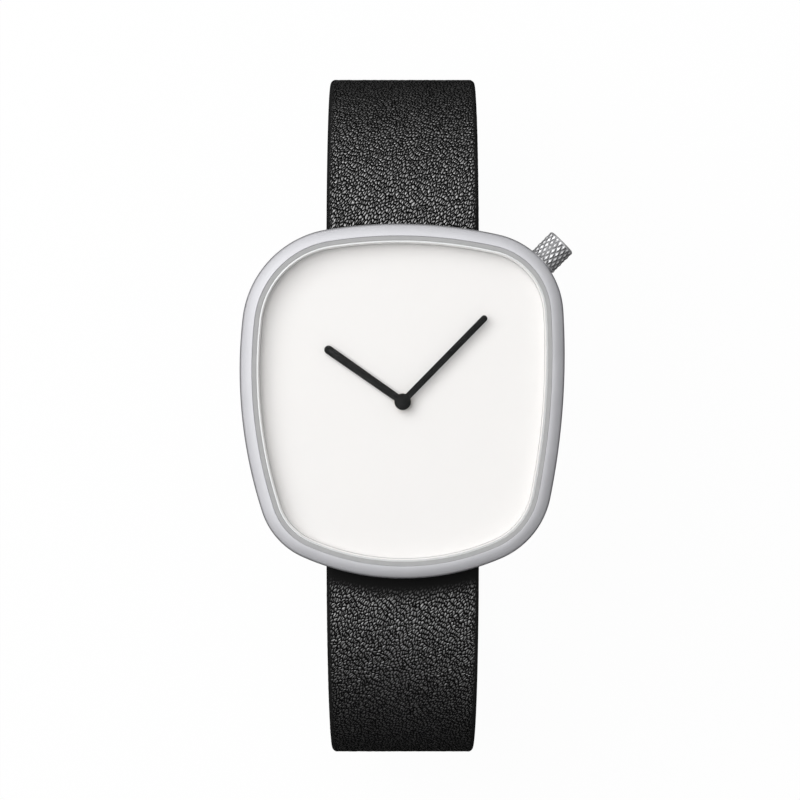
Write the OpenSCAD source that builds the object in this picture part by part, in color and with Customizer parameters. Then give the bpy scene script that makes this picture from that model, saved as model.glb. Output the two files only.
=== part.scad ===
// Quartz wristwatch: a pebble-shaped steel case with a bare dial and two bar hands,
// a knurled crown between 1 and 2, and a leather strap buckled into a loop.
// Sizes are in millimetres. The origin is where the hands' axis meets the back face.
// +Z points out of the dial, +Y to 12 and +X to 3.

/* [Case outline] */
// Hands' axis to the case edge at 12
reach_12 = 20.66; // [20:0.1:21.5]
// Hands' axis to the case edge at 3
reach_3 = 18.8; // [18.3:0.1:19.6]
// Hands' axis to the case edge at 6
reach_6 = 20.51; // [20:0.1:21.5]
// Hands' axis to the case edge at 9
reach_9 = 18.92; // [18.3:0.1:19.6]
// Radius of the bowed side at 12
bow_12 = 53; // [45:1:65]
// Radius of the bowed side at 3
bow_3 = 83.8; // [70:1:100]
// Radius of the bowed side at 6
bow_6 = 28.7; // [27:0.5:33]
// Radius of the bowed side at 9
bow_9 = 53.2; // [45:1:65]
// Sideways place of the bow at 12
skew_12 = -0.4; // [-0.8:0.1:0.8]
// Height of the bow at 3 above the hands' axis
rise_3 = 5.47; // [4:0.1:7]
// Sideways place of the bow at 6
skew_6 = 0.09; // [-0.8:0.1:0.8]
// Height of the bow at 9 above the hands' axis
rise_9 = 3.67; // [2.5:0.1:5]
// Corner radius between 12 and 3
corner_1 = 9.64; // [8.5:0.1:11]
// Corner radius between 12 and 9
corner_11 = 11.78; // [10.5:0.1:13]
// Corner radius between 6 and 9
corner_7 = 8.65; // [8:0.1:10]
// Corner radius between 6 and 3
corner_5 = 9.73; // [8.5:0.1:11]

/* [Case] */
// Top of the bezel above the back face
case_h = 7; // [6.8:0.1:7.4]
// Height of the case's widest level
waist_z = 4.6; // [4.4:0.1:5]
// How far the underside draws in below the waist
tuck = 3; // [2:0.1:3.4]
// Fullness of the underside, 2 is an ellipse
tuck_power = 2.4; // [2.2:0.1:3]
// Clearance between the case's flat and the back face
back_proud = 0.3; // [0.2:0.05:0.5]
// Width of the rounded bezel
bezel_w = 1.5; // [1.2:0.1:1.8]
// Flat land inside the bezel's rounding
bezel_land = 0.05; // [0.03:0.01:0.15]
// Radius of the bore for the movement
bore_r = 12.4; // [12.35:0.05:12.6]
// Radius of the back cover
cover_r = 14.1; // [13.9:0.1:14.3]
// Thickness of the back cover
cover_t = 0.8; // [0.7:0.05:1]
// Outer radius of the cover's snap ring
snap_r = 13.35; // [13.3:0.05:13.5]
// Wall of the snap ring
snap_wall = 0.6; // [0.5:0.05:0.7]
// Height of the snap ring
snap_h = 1.1; // [1:0.05:1.1]
// How far the snap bead stands out
snap_bead = 0.1; // [0.06:0.01:0.14]
// Thickness of the back gasket
cover_seal_t = 0.2; // [0.15:0.05:0.25]
// Clearance round the back cover and its ring
cover_gap = 0.05; // [0.03:0.01:0.1]

/* [Crystal and dial] */
// Ledge that the crystal sits on
ledge_z = 5.95; // [5.9:0.05:6.1]
// Width of the grey gasket round the crystal
seal_w = 0.53; // [0.4:0.01:0.65]
// Height of the crystal's gasket
seal_h = 1; // [0.8:0.1:1]
// Thickness of the crystal
crystal_t = 1.2; // [1:0.05:1.4]
// Chamfer on the crystal's edge
crystal_chamfer = 0.2; // [0.1:0.02:0.3]
// Width of the ledge under the crystal
ledge_w = 0.32; // [0.25:0.01:0.45]
// Seat of the dial above the back face
dial_seat_z = 4.2; // [4.2:0.05:4.3]
// Thickness of the dial
dial_t = 0.4; // [0.3:0.05:0.45]
// Clearance round the dial
dial_gap = 0.05; // [0.03:0.01:0.1]
// Radius of the dial's centre hole
dial_hole_r = 0.95; // [0.9:0.01:1.1]
// Radius of the dial feet
foot_r = 0.35; // [0.3:0.01:0.4]
// Distance of the dial feet from the hands' axis
foot_at = 9.6; // [9.2:0.1:9.9]
// Direction of the dial feet, counter-clockwise from 3
foot_turn = 150; // [146:1:154]

/* [Hands] */
// Hub to the tip's round centre on the hour hand
hour_len = 10.48; // [9:0.1:12]
// Width of the hour hand at its tip
hour_w = 1; // [0.8:0.02:1.2]
// Width of the hour hand at its hub
hour_root_w = 0.9; // [0.7:0.02:1.1]
// Hub to the tip's round centre on the minute hand
minute_len = 13.47; // [12:0.1:14.5]
// Width of the minute hand
minute_w = 0.76; // [0.6:0.02:0.9]
// Thickness of both hands
hand_t = 0.2; // [0.15:0.01:0.22]
// Radius of the hands' hubs
hub_r = 0.96; // [0.9:0.01:1.1]
// Gap from the dial up to the hour hand
hour_lift = 0.4; // [0.3:0.05:0.45]
// Gap from the hour hand up to the minute hand
minute_lift = 0.3; // [0.2:0.02:0.3]
// Hour hand's direction, clockwise from 12
hour_at = 305; // [0:0.1:360]
// Minute hand's direction, clockwise from 12
minute_at = 44.4; // [0:0.1:360]

/* [Crown] */
// Crown's direction, counter-clockwise from 3
crown_turn = 45; // [44:0.5:46]
// Height of the stem above the back face
stem_z = 2.7; // [2.68:0.01:2.75]
// Radius of the crown over its knurl
crown_r = 1.79; // [1.7:0.01:1.9]
// Length of the crown
crown_len = 3.45; // [3.05:0.05:4]
// Depth of the flat under the crown, from the case's outline
crown_seat = 0.31; // [0.27:0.01:0.45]
// Gap between the crown and that flat
crown_gap = 0.1; // [0.08:0.01:0.15]
// Diamonds round the crown
knurl_count = 18; // [18:1:30]
// Length of a diamond along the crown, over its width
knurl_stretch = 1.8; // [1:0.1:2]
// Depth of the knurl
knurl_depth = 0.13; // [0.08:0.01:0.18]
// Plain bevel at each end of the crown
crown_bevel = 0.22; // [0.15:0.01:0.3]
// Outer radius of the crown tube
tube_r = 1; // [0.95:0.01:1.05]
// Bore of the crown tube
tube_bore = 0.6; // [0.55:0.01:0.65]
// Inner end of the crown tube
tube_from = 14; // [13.8:0.1:15]
// How far the crown tube stands out of the flat
tube_out = 2.25; // [2.1:0.05:2.3]
// Radius of the stem
stem_r = 0.45; // [0.42:0.01:0.47]
// Clearance round the stem and its pinion
stem_gap = 0.05; // [0.03:0.01:0.07]
// Pull of the crown from running to setting
crown_pull = 1; // [0.9:0.05:1.1]

/* [Strap] */
// Spring bars' distance in from the case edge
bar_inset = 3.4; // [3.3:0.05:3.5]
// Height of the case's spring bars above the back face
bar_z = 1.9; // [1.85:0.05:1.95]
// Width of the pocket in the case for the strap
lug_w = 18.2; // [18.1:0.1:18.6]
// Width of the strap at the case
strap_w = 17.8; // [17.4:0.1:17.9]
// Width of the strap at the buckle
strap_end_w = 16; // [15.6:0.1:16.4]
// Thickness of the strap at the case
strap_t = 2; // [1.8:0.05:2.1]
// Thickness of the long half where it is buckled
tail_t = 1.8; // [1.6:0.05:1.9]
// Thickness of the strap's lining
lining_t = 0.65; // [0.5:0.05:0.7]
// Rounding of the strap's outer edges
strap_edge = 0.85; // [0.6:0.05:0.9]
// Radius of the strap's roll round a spring bar
roll_r = 1.6; // [1.55:0.02:1.65]
// Radius of the roll at the buckle
buckle_roll_r = 1.45; // [1.4:0.02:1.5]
// Hands' axis to the strap's outermost line at 12
spread_12 = 39; // [37:0.5:41]
// Hands' axis to the strap's outermost line at 6
spread_6 = 42.5; // [41:0.5:44.5]
// Drop from the bar to the strap under the wrist
wrist_drop = 39; // [37:0.5:41]
// Length of the long half's tail past the wrist's bend
tail_len = 9; // [6:0.5:11]
// Gap between the strap's two layers
layer_gap = 0.2; // [0.15:0.01:0.3]
// Pitch of the strap's holes
hole_pitch = 6.5; // [6:0.1:7]
// Length of a strap hole
hole_len = 3.4; // [3.3:0.05:3.7]
// Width of a strap hole
hole_w = 2; // [1.9:0.05:2.2]

/* [Buckle and keepers] */
// Wrist's bend to the buckle's hinge line
short_run = 17.5; // [17.3:0.1:19]
// Hinge line to the buckle's far bar
frame_len = 10; // [9.7:0.1:11]
// Radius of the buckle's far bar
frame_r = 1.1; // [1:0.02:1.2]
// Width of each side arm across the strap
arm_w = 1.4; // [1.2:0.05:1.8]
// Thickness of the side arms
arm_t = 1.8; // [1.6:0.05:1.9]
// Bulge of the side arms, as an angle
arm_bulge = 12; // [9:0.5:14]
// Clearance between the strap and the buckle's arms
frame_gap = 0.25; // [0.2:0.01:0.35]
// Width of the tongue
tongue_w = 1.2; // [1:0.05:1.25]
// Thickness of the tongue
tongue_t = 0.9; // [0.8:0.02:0.92]
// Steepness of the tongue where it passes the strap
tongue_lean = 55; // [53:0.5:58]
// Radius of the tongue's bend
tongue_bend = 2.2; // [2:0.05:2.4]
// Radius of the tongue's eye
tongue_eye = 1.35; // [1.25:0.01:1.4]
// Radius of a spring bar's sleeve
sleeve_r = 0.75; // [0.7:0.01:0.78]
// Radius of a spring bar's tips
tip_r = 0.4; // [0.35:0.01:0.45]
// Reach of each tip into its hole
tip_len = 1.1; // [0.9:0.05:1.1]
// Running clearance of pins in their holes
pin_gap = 0.05; // [0.03:0.01:0.08]
// Length of each keeper along the strap
keeper_len = 4; // [3.5:0.1:4.2]
// Thickness of the keepers' leather
keeper_t = 1.1; // [0.9:0.05:1.2]
// Clearance inside the keepers
keeper_gap = 0.15; // [0.12:0.01:0.2]
// Hinge line to the fixed keeper
keeper_fixed = 2.6; // [2.4:0.1:2.8]
// Hinge line to the free keeper
keeper_free = 10; // [9.8:0.1:10.4]

/* [Movement] */
// Radius of the mainplate
plate_r = 11.65; // [11.5:0.05:11.65]
// Clearance between mainplate, holder ring and case
holder_gap = 0.05; // [0.03:0.01:0.1]
// Underside of the mainplate
plate_z = 2.9; // [2.88:0.01:2.95]
// Thickness of the mainplate
plate_t = 0.55; // [0.5:0.01:0.57]
// Width of the rim that the dial rests on
rim_w = 0.6; // [0.4:0.05:0.8]
// Underside of the train bridge
bridge_z = 1.35; // [1.33:0.01:1.4]
// Thickness of the train bridge
bridge_t = 0.4; // [0.35:0.01:0.42]
// Thickness of the circuit board
board_t = 0.25; // [0.2:0.01:0.3]
// Radius of the circuit board
board_r = 10.9; // [10.7:0.05:11]
// Radius of the button cell
cell_r = 3.4; // [3.3:0.05:3.45]
// Height of the button cell
cell_h = 2.1; // [1.9:0.05:2.15]
// Button cell from the hands' axis, towards 3
cell_x = -7.1; // [-7.15:0.05:-7]
// Button cell from the hands' axis, towards 12
cell_y = -2.6; // [-2.7:0.05:-2.5]
// Thickness of the battery clamp
clamp_t = 0.15; // [0.1:0.01:0.16]
// Radius of the coil winding
coil_r = 1; // [0.8:0.05:1.05]
// Length of the coil winding
coil_len = 9; // [8:0.1:9.2]
// Distance of the coil below the hands' axis
coil_y = -8.6; // [-8.7:0.05:-8.5]
// Thickness of the stator and the coil core
lamina_t = 0.4; // [0.3:0.02:0.4]
// Radius of the quartz can
can_r = 0.75; // [0.7:0.01:0.8]
// Length of the quartz can
can_len = 4.8; // [4.5:0.1:5.2]
// Radius of the movement's screws
screw_r = 0.3; // [0.25:0.01:0.32]
// Radius of the screw heads
screw_head_r = 0.65; // [0.55:0.01:0.7]
// Height of the screw heads
screw_head_h = 0.15; // [0.12:0.01:0.15]

/* [Wheels] */
// Tooth size of the cannon pinion, minute wheel and setting wheel
module_minute = 0.1; // [0.096:0.001:0.101]
// Tooth size of the hour wheel
module_hour = 0.096; // [0.092:0.001:0.097]
// Tooth size of the centre wheel
module_center = 0.085; // [0.08:0.001:0.086]
// Tooth size of the intermediate wheel
module_step = 0.08; // [0.076:0.001:0.081]
// Thickness of a wheel
wheel_t = 0.15; // [0.12:0.01:0.17]
// Radius of the wheels' arbors
arbor_r = 0.3; // [0.26:0.01:0.31]
// Radius of the arbors' pivots
pivot_r = 0.12; // [0.1:0.01:0.14]
// Clearance of the pivots in their holes
pivot_gap = 0.03; // [0.02:0.01:0.04]
// Direction of the minute wheel, counter-clockwise from 3
minute_wheel_turn = 45; // [44:0.5:46]
// Direction of the intermediate wheel
intermediate_turn = 300; // [298:1:302]
// Direction of the rotor from the intermediate wheel
rotor_turn = 330; // [328:1:332]
// Radius of the rotor's magnet
magnet_r = 0.7; // [0.6:0.02:0.75]

/* [Hidden] */
$fn = 48;

// Colours
STEEL = [0.72, 0.72, 0.74];
DARK_STEEL = [0.5, 0.5, 0.53];
BRASS = [0.8, 0.65, 0.35];
LEATHER = [0.09, 0.085, 0.08];
LINING = [0.16, 0.14, 0.12];
INK = [0.06, 0.06, 0.065];

// Overshoot of a cut past the face that it opens
CUT = 0.1;

// Heights that follow from the sizes above
case_flat_z = back_proud;
crystal_top_z = ledge_z + crystal_t;
dial_top_z = dial_seat_z + dial_t;
hour_hand_z = dial_top_z + hour_lift;
minute_hand_z = hour_hand_z + hand_t + minute_lift;
snap_top_z = cover_t + snap_h;
counterbore_z = snap_top_z + cover_seal_t;
plate_top_z = plate_z + plate_t;
bridge_top_z = bridge_z + bridge_t;
board_z = bridge_z - board_t;
cell_at = [cell_x, cell_y];

// Outline of the case: four bowed sides with a round corner after each, from 3 to 12, 9 and 6
side_center = [
  [reach_3 - bow_3, rise_3],
  [skew_12, reach_12 - bow_12],
  [bow_9 - reach_9, rise_9],
  [skew_6, bow_6 - reach_6]
];
side_r = [bow_3, bow_12, bow_9, bow_6];
corner_r = [corner_1, corner_11, corner_7, corner_5];
corner_near = [[10, 10], [-10, 10], [-10, -10], [10, -10]];
SIDE_STEPS = 8;
CORNER_STEPS = 11;

function bearing(a, b) = atan2(b.y - a.y, b.x - a.x);
function turn_between(a, b) = (b - a + 540) % 360 - 180;

// Where two circles meet, on the side of the point near
function meet(c0, r0, c1, r1, near) =
  let (
    gap = norm(c1 - c0),
    a = (r0 * r0 - r1 * r1 + gap * gap) / (2 * gap),
    h = sqrt(max(r0 * r0 - a * a, 0)),
    mid = c0 + a * (c1 - c0) / gap,
    side = [c0.y - c1.y, c1.x - c0.x] / gap,
    p = mid + h * side,
    q = mid - h * side
  ) norm(p - near) < norm(q - near) ? p : q;

corner_center = [
  for (i = [0:3])
    let (j = (i + 1) % 4)
      meet(side_center[i], side_r[i] - corner_r[i],
           side_center[j], side_r[j] - corner_r[i], corner_near[i])
];

// Distance from the hands' axis to the outline, in a direction u that meets the corner at 1
function reach_to(u) = corner_center[0] * u + sqrt(corner_1 ^ 2 - cross(corner_center[0], u) ^ 2);
crown_flat = reach_to([cos(crown_turn), sin(crown_turn)]) - crown_seat;
crown_from = crown_flat + crown_gap;
crown_reach = crown_from + crown_len;
tube_to = crown_flat + tube_out;

function arc(c, r, from, to, steps) = [
  for (k = [0:steps - 1])
    let (a = from + turn_between(from, to) * k / steps) c + r * [cos(a), sin(a)]
];

// The case outline drawn in by d all round, the same points at every d
function outline(d) = [
  for (i = [0:3])
    let (c = side_center[i], k = corner_center[i], before = corner_center[(i + 3) % 4])
      each concat(
        arc(c, side_r[i] - d, bearing(c, before), bearing(c, k), SIDE_STEPS),
        arc(k, corner_r[i] - d, bearing(c, k), bearing(side_center[(i + 1) % 4], k), CORNER_STEPS))
];

// Skin over rings of equally many points, each counter-clockwise seen from the last ring's end
module skin(rings) {
  n = len(rings[0]);
  last = len(rings) - 1;
  walls = [
    for (k = [0:last - 1], j = [0:n - 1])
      let (next = (j + 1) % n)
        each [[k * n + j, (k + 1) * n + j, (k + 1) * n + next], [k * n + j, (k + 1) * n + next, k * n + next]]
  ];
  bottom = [for (j = [0:n - 1]) j];
  top = [for (j = [n - 1:-1:0]) last * n + j];
  polyhedron([for (ring = rings) each ring], concat(walls, [bottom, top]), convexity=6);
}

function level(z, d) = [for (p = outline(d)) [p.x, p.y, z]];

// Slab with the case outline drawn in by d
module slab(z, d, h) {
  translate([0, 0, z]) linear_extrude(h) polygon(outline(d));
}

module ring(outer, inner, h) {
  difference() {
    cylinder(r=outer, h=h);
    translate([0, 0, -CUT]) cylinder(r=inner, h=h + 2 * CUT);
  }
}

// Rod along X, centred
module rod_x(r, length) {
  rotate([0, 90, 0]) cylinder(r=r, h=length, center=true);
}

// Frame of the stem: X runs out along the stem from the hands' axis, Y is to its left
module stem_frame() {
  rotate([0, 0, crown_turn]) children();
}

// Rod on the stem's axis, from one distance out to another
module on_stem(r, from, to) {
  stem_frame() translate([from, 0, stem_z]) rotate([0, 90, 0]) cylinder(r=r, h=to - from);
}

// Case
UNDER_STEPS = 6;
BEZEL_STEPS = 7;
// The bezel's rounding stops short of level, so its inner edge still slopes
BEZEL_ARC = 82;
under_arc = asin(((waist_z - case_flat_z) / waist_z) ^ (tuck_power / 2));
under_rings = [
  for (k = [0:UNDER_STEPS])
    let (a = under_arc * (1 - k / UNDER_STEPS))
      [waist_z * (1 - sin(a) ^ (2 / tuck_power)), tuck * (1 - cos(a) ^ (2 / tuck_power))]
];
bezel_rings = [
  for (k = [1:BEZEL_STEPS])
    let (a = BEZEL_ARC * k / BEZEL_STEPS)
      [waist_z + (case_h - waist_z) * sin(a) / sin(BEZEL_ARC),
       (bezel_w - bezel_land) * (1 - cos(a)) / (1 - cos(BEZEL_ARC))]
];
crystal_in = bezel_w + seal_w;
well_in = crystal_in + ledge_w;
// Gap between a roll of the strap and its pocket
pocket_gap = 0.15;
pocket_top_z = bar_z + roll_r + 0.2;
bar_y_12 = reach_12 - bar_inset;
bar_y_6 = bar_inset - reach_6;
crown_pocket_r = crown_r + 0.35;
stem_hole_r = tube_bore - 0.05;

module case_middle() {
  color(STEEL) difference() {
    skin([for (r = concat(under_rings, bezel_rings)) level(r[0], r[1])]);
    slab(ledge_z, bezel_w, case_h - ledge_z + CUT);
    slab(dial_seat_z, well_in, ledge_z - dial_seat_z + CUT);
    cylinder(r=bore_r, h=dial_seat_z + CUT, $fn=96);
    cylinder(r=snap_r + cover_gap, h=counterbore_z, $fn=96);
    cylinder(r=cover_r + cover_gap, h=cover_t, $fn=96);
    snap_groove();
    strap_pocket(bar_y_12, 1);
    strap_pocket(bar_y_6, -1);
    on_stem(stem_hole_r, bore_r - 1, tube_from + CUT);
    on_stem(tube_r, tube_from, crown_flat + CUT);
    on_stem(crown_pocket_r, crown_flat, crown_reach);
  }
}

// Where the cover's bead snaps in
BEAD_Z = 1.25;
BEAD_H = 0.2;
module snap_groove() {
  translate([0, 0, BEAD_Z - cover_gap])
    cylinder(r=snap_r + snap_bead + cover_gap, h=BEAD_H + 2 * cover_gap, $fn=96);
}

// Room for one strap end, with the holes for its spring bar
module strap_pocket(y, side) {
  depth = roll_r + pocket_gap;
  translate([-lug_w / 2, side > 0 ? y - depth : y + depth - reach_12, -CUT])
    cube([lug_w, reach_12, pocket_top_z + CUT]);
  translate([0, y, bar_z]) rod_x(tip_r + pin_gap, lug_w + 2 * (tip_len + pin_gap));
}

module crystal() {
  color([0.85, 0.9, 0.92, 0.35])
    skin([
      level(ledge_z, crystal_in),
      level(crystal_top_z - crystal_chamfer, crystal_in),
      level(crystal_top_z, crystal_in + crystal_chamfer)
    ]);
}

module crystal_gasket() {
  color([0.62, 0.62, 0.62]) difference() {
    slab(ledge_z, bezel_w, seal_h);
    slab(ledge_z - CUT, crystal_in, seal_h + 2 * CUT);
  }
}

module case_back() {
  notch_w = 2.5;
  notch_deep = 0.4;
  notch_h = 0.35;
  chamfer = 0.2;
  color(DARK_STEEL) difference() {
    rotate_extrude($fn=96) polygon([
      [0, 0], [cover_r - chamfer, 0], [cover_r, chamfer], [cover_r, cover_t],
      [snap_r, cover_t], [snap_r, BEAD_Z], [snap_r + snap_bead, BEAD_Z + BEAD_H / 4],
      [snap_r + snap_bead, BEAD_Z + 3 * BEAD_H / 4], [snap_r, BEAD_Z + BEAD_H],
      [snap_r, snap_top_z], [snap_r - snap_wall, snap_top_z], [snap_r - snap_wall, cover_t],
      [0, cover_t]
    ]);
    rotate([0, 0, -135]) translate([cover_r - notch_deep, -notch_w / 2, cover_t - notch_h])
      cube([notch_deep + CUT, notch_w, notch_h + CUT]);
  }
}

module case_back_gasket() {
  color(INK) translate([0, 0, snap_top_z]) ring(snap_r, snap_r - snap_wall, cover_seal_t, $fn=96);
}

module crown_tube() {
  color(STEEL) difference() {
    on_stem(tube_r, tube_from, tube_to);
    on_stem(tube_bore, tube_from - CUT, tube_to + CUT);
  }
}

module dial() {
  foot_h = dial_seat_z - plate_z;
  color([0.96, 0.955, 0.94]) difference() {
    union() {
      slab(dial_seat_z, well_in + dial_gap, dial_t);
      for (a = [0, 180])
        rotate([0, 0, foot_turn + a]) translate([foot_at, 0, dial_seat_z - foot_h])
          cylinder(r=foot_r, h=foot_h + dial_t / 2);
    }
    translate([0, 0, dial_seat_z - CUT]) cylinder(r=dial_hole_r, h=dial_t + 2 * CUT);
  }
}

module movement_holder() {
  z = cover_t + 0.15;
  color([0.85, 0.85, 0.82]) difference() {
    translate([0, 0, z])
      ring(bore_r - holder_gap, plate_r + holder_gap, dial_seat_z - holder_gap - z, $fn=96);
    on_stem(stem_hole_r + 0.25, plate_r - 1, bore_r + 1);
  }
}

// Movement: places of the arbors and screws
function polar(r, a) = r * [cos(a), sin(a)];

CANNON_TEETH = 12;
MINUTE_TEETH = 36;
MINUTE_PINION_TEETH = 10;
HOUR_TEETH = 40;
SETTING_TEETH = 20;
CENTER_TEETH = 64;
STEP_PINION_TEETH = 8;
STEP_TEETH = 60;
ROTOR_TEETH = 8;
minute_wheel_at = polar(module_minute * (CANNON_TEETH + MINUTE_TEETH) / 2, minute_wheel_turn);
setting_wheel_r = module_minute * (CANNON_TEETH + SETTING_TEETH) / 2 + module_minute * MINUTE_TEETH;
setting_wheel_at = polar(setting_wheel_r, minute_wheel_turn);
intermediate_at = polar(module_center * (CENTER_TEETH + STEP_PINION_TEETH) / 2, intermediate_turn);
rotor_at = intermediate_at + polar(module_step * (STEP_TEETH + ROTOR_TEETH) / 2, rotor_turn);
coil_end_x = 5.6;
bridge_feet = [[7.2, -1.8], [-2.2, -4.6]];
plate_feet = [polar(10.3, 12), polar(10.3, 118)];
coil_feet = [[coil_end_x, coil_y], [-coil_end_x, coil_y]];
pillar_r = 0.85;

// Levels in the movement
motion_z = plate_top_z + 0.05;
hour_wheel_z = dial_seat_z - wheel_t - 0.15;
center_wheel_z = bridge_top_z + 0.3;
stator_z = bridge_top_z + 0.1;
core_z = stator_z + lamina_t;
rotor_top_z = stator_z + lamina_t;
step_wheel_z = rotor_top_z + 0.2;
cell_z = board_z;

// Keyless works: distances out along the stem
setting_rim = setting_wheel_r + module_minute * (SETTING_TEETH / 2 + 0.85);
// How far the pinion's teeth reach over the setting wheel's once the crown is pulled
mesh_reach = 0.2;
pinion_shift = crown_pull / 2;
pinion_from = setting_rim - mesh_reach + pinion_shift;
pinion_len = 1.2;
pinion_r = motion_z + 0.1 - stem_z;
square_from = pinion_from - 1;
square_to = pinion_from + pinion_len + 0.8;
pilot_r = 0.3;
pilot_from = square_from - 1.4;
lug_from = square_from - 0.7;
lug_to = square_from - 0.2;
groove_from = square_to + 0.4;
groove_w = 0.4;
boss_from = groove_from + groove_w + crown_pull + 0.2;
lever_arm = 2.85;

// Toothed outline: root, tip, tip and root of each tooth, with a tooth at the angle turn
function toothed(teeth, size, turn=0) = [
  for (k = [0:teeth - 1], corner = [[-0.3, -1.1], [-0.11, 0.85], [0.11, 0.85], [0.3, -1.1]])
    polar(size * (teeth / 2 + corner[1]), turn + (k + corner[0]) * 360 / teeth)
];

// Turn that puts a gap, rather than a tooth, at the angle a
function gap_at(a, teeth) = a + 180 / teeth;

module gear(z, h, teeth, size, turn=0) {
  translate([0, 0, z]) linear_extrude(h) polygon(toothed(teeth, size, turn));
}

// Round windows that lighten a wheel
module windows(count, at, r) {
  for (k = [0:count - 1])
    rotate([0, 0, (k + 0.5) * 360 / count]) translate([at, 0, -CUT]) cylinder(r=r, h=case_h);
}

module mainplate() {
  color(BRASS) difference() {
    union() {
      translate([0, 0, plate_z]) cylinder(r=plate_r, h=plate_t, $fn=96);
      translate([0, 0, plate_top_z])
        ring(plate_r, plate_r - rim_w, dial_seat_z - plate_top_z, $fn=96);
      for (p = bridge_feet) pillar(p, bridge_top_z);
      for (p = plate_feet) pillar(p, bridge_z);
      for (p = coil_feet) pillar(p, core_z + lamina_t);
      stem_bearing(boss_from, plate_r - 0.3, 1.7);
      stem_bearing(lug_from, lug_to, 0.8);
    }
    translate([cell_at.x, cell_at.y, 0]) cylinder(r=cell_r + 0.15, h=case_h);
    translate([-coil_len / 2 - 0.2, coil_y - coil_r - 0.2, 0])
      cube([coil_len + 0.4, 2 * coil_r + 0.4, case_h]);
    stem_frame() translate([lug_to, -1.1, 0]) cube([boss_from - lug_to, 2.2, case_h]);
    on_stem(pilot_r + stem_gap, pilot_from - stem_gap, lug_to + CUT);
    on_stem(stem_r + stem_gap, boss_from - CUT, plate_r + 1);
    cylinder(r=arbor_r + stem_gap, h=case_h);
    pivot_hole(intermediate_at, plate_z, plate_t - 0.15);
    pivot_hole(rotor_at, plate_z, plate_t - 0.15);
    for (p = concat(bridge_feet, plate_feet, coil_feet))
      translate([p.x, p.y, 0]) cylinder(r=screw_r, h=plate_top_z - 0.1);
    for (a = [0, 180])
      rotate([0, 0, foot_turn + a]) translate([foot_at, 0, 0])
        cylinder(r=foot_r + pin_gap, h=case_h);
  }
  color(BRASS) stud(minute_wheel_at);
  color(BRASS) stud(setting_wheel_at);
}

// Pillar from the mainplate down to the level z
module pillar(p, z) {
  translate([p.x, p.y, z]) cylinder(r=pillar_r, h=plate_z - z + plate_t / 2);
}

// Block under the mainplate that a bearing of the stem is bored in
module stem_bearing(from, to, half_w) {
  stem_frame() translate([from, -half_w, stem_z - 0.65])
    cube([to - from, 2 * half_w, plate_z + plate_t / 2 - stem_z + 0.65]);
}

// Stud that a motion wheel turns on
module stud(p) {
  translate([p.x, p.y, plate_top_z]) cylinder(r=arbor_r - stem_gap, h=dial_seat_z - plate_top_z - 0.1);
}

module pivot_hole(p, z, deep) {
  translate([p.x, p.y, z - CUT]) cylinder(r=pivot_r + pivot_gap, h=deep + CUT);
}

module train_bridge() {
  web = 1.15;
  color(BRASS) difference() {
    translate([0, 0, bridge_z]) linear_extrude(bridge_t) {
      bosses(concat([[0, 0], intermediate_at, rotor_at], bridge_feet), web + 0.15);
      bar([0, 0], intermediate_at, web);
      bar(intermediate_at, rotor_at, web);
      bar(rotor_at, bridge_feet[0], web);
      bar(intermediate_at, bridge_feet[1], web);
    }
    for (p = [[0, 0], intermediate_at, rotor_at]) pivot_hole(p, bridge_z, bridge_t + CUT);
    for (p = bridge_feet) translate([p.x, p.y, 0]) cylinder(r=screw_r + pin_gap, h=case_h);
  }
}

// Flat bar between two places, r is half its width
module bar(a, b, r) {
  translate(a) rotate(bearing(a, b)) translate([0, -r]) square([norm(b - a), 2 * r]);
}

// Round bosses, a little wider than the bars that they join
module bosses(places, r) {
  for (p = places) translate(p) circle(r=r);
}

module circuit_board() {
  color([0.1, 0.35, 0.2]) translate([0, 0, board_z]) difference() {
    cylinder(r=board_r, h=board_t, $fn=96);
    translate([cell_at.x, cell_at.y, -CUT]) cylinder(r=cell_r + 0.2, h=1);
    translate([cell_at.x - 9, cell_at.y - 2, -CUT]) cube([9, 4, 1]);
    for (p = concat(bridge_feet, plate_feet, coil_feet))
      translate([p.x, p.y, -CUT]) cylinder(r=screw_r + pin_gap, h=1);
  }
}

chip_size = [1.8, 1.8, 0.5];
module driver_chip() {
  color(INK) translate([-2.4, 5.6, bridge_z]) cube(chip_size);
}

can_at = [-6.2, 4.6];
can_turn = 50;
module quartz_can() {
  color(STEEL) translate([can_at.x, can_at.y, bridge_z + can_r]) rotate([0, 0, can_turn]) {
    rod_x(can_r, can_len);
    translate([can_len / 2, 0, 0]) rod_x(can_r * 0.7, 0.6);
  }
}

core_w = 0.9;
module coil() {
  cheek_t = 0.3;
  color([0.72, 0.36, 0.16]) translate([0, coil_y, core_z + lamina_t / 2]) difference() {
    union() {
      rod_x(coil_r * 0.9, coil_len);
      for (side = [-1, 1]) translate([side * (coil_len - cheek_t) / 2, 0, 0]) rod_x(coil_r, cheek_t);
    }
    cube([coil_len + 1, core_w + 0.04, lamina_t + 0.04], center=true);
  }
}

module coil_core() {
  color(DARK_STEEL) translate([0, 0, core_z]) linear_extrude(lamina_t) difference() {
    union() {
      bar(coil_feet[1], coil_feet[0], core_w / 2);
      bosses(coil_feet, screw_r + 0.3);
    }
    bosses(coil_feet, screw_r + pin_gap);
  }
}

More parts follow.
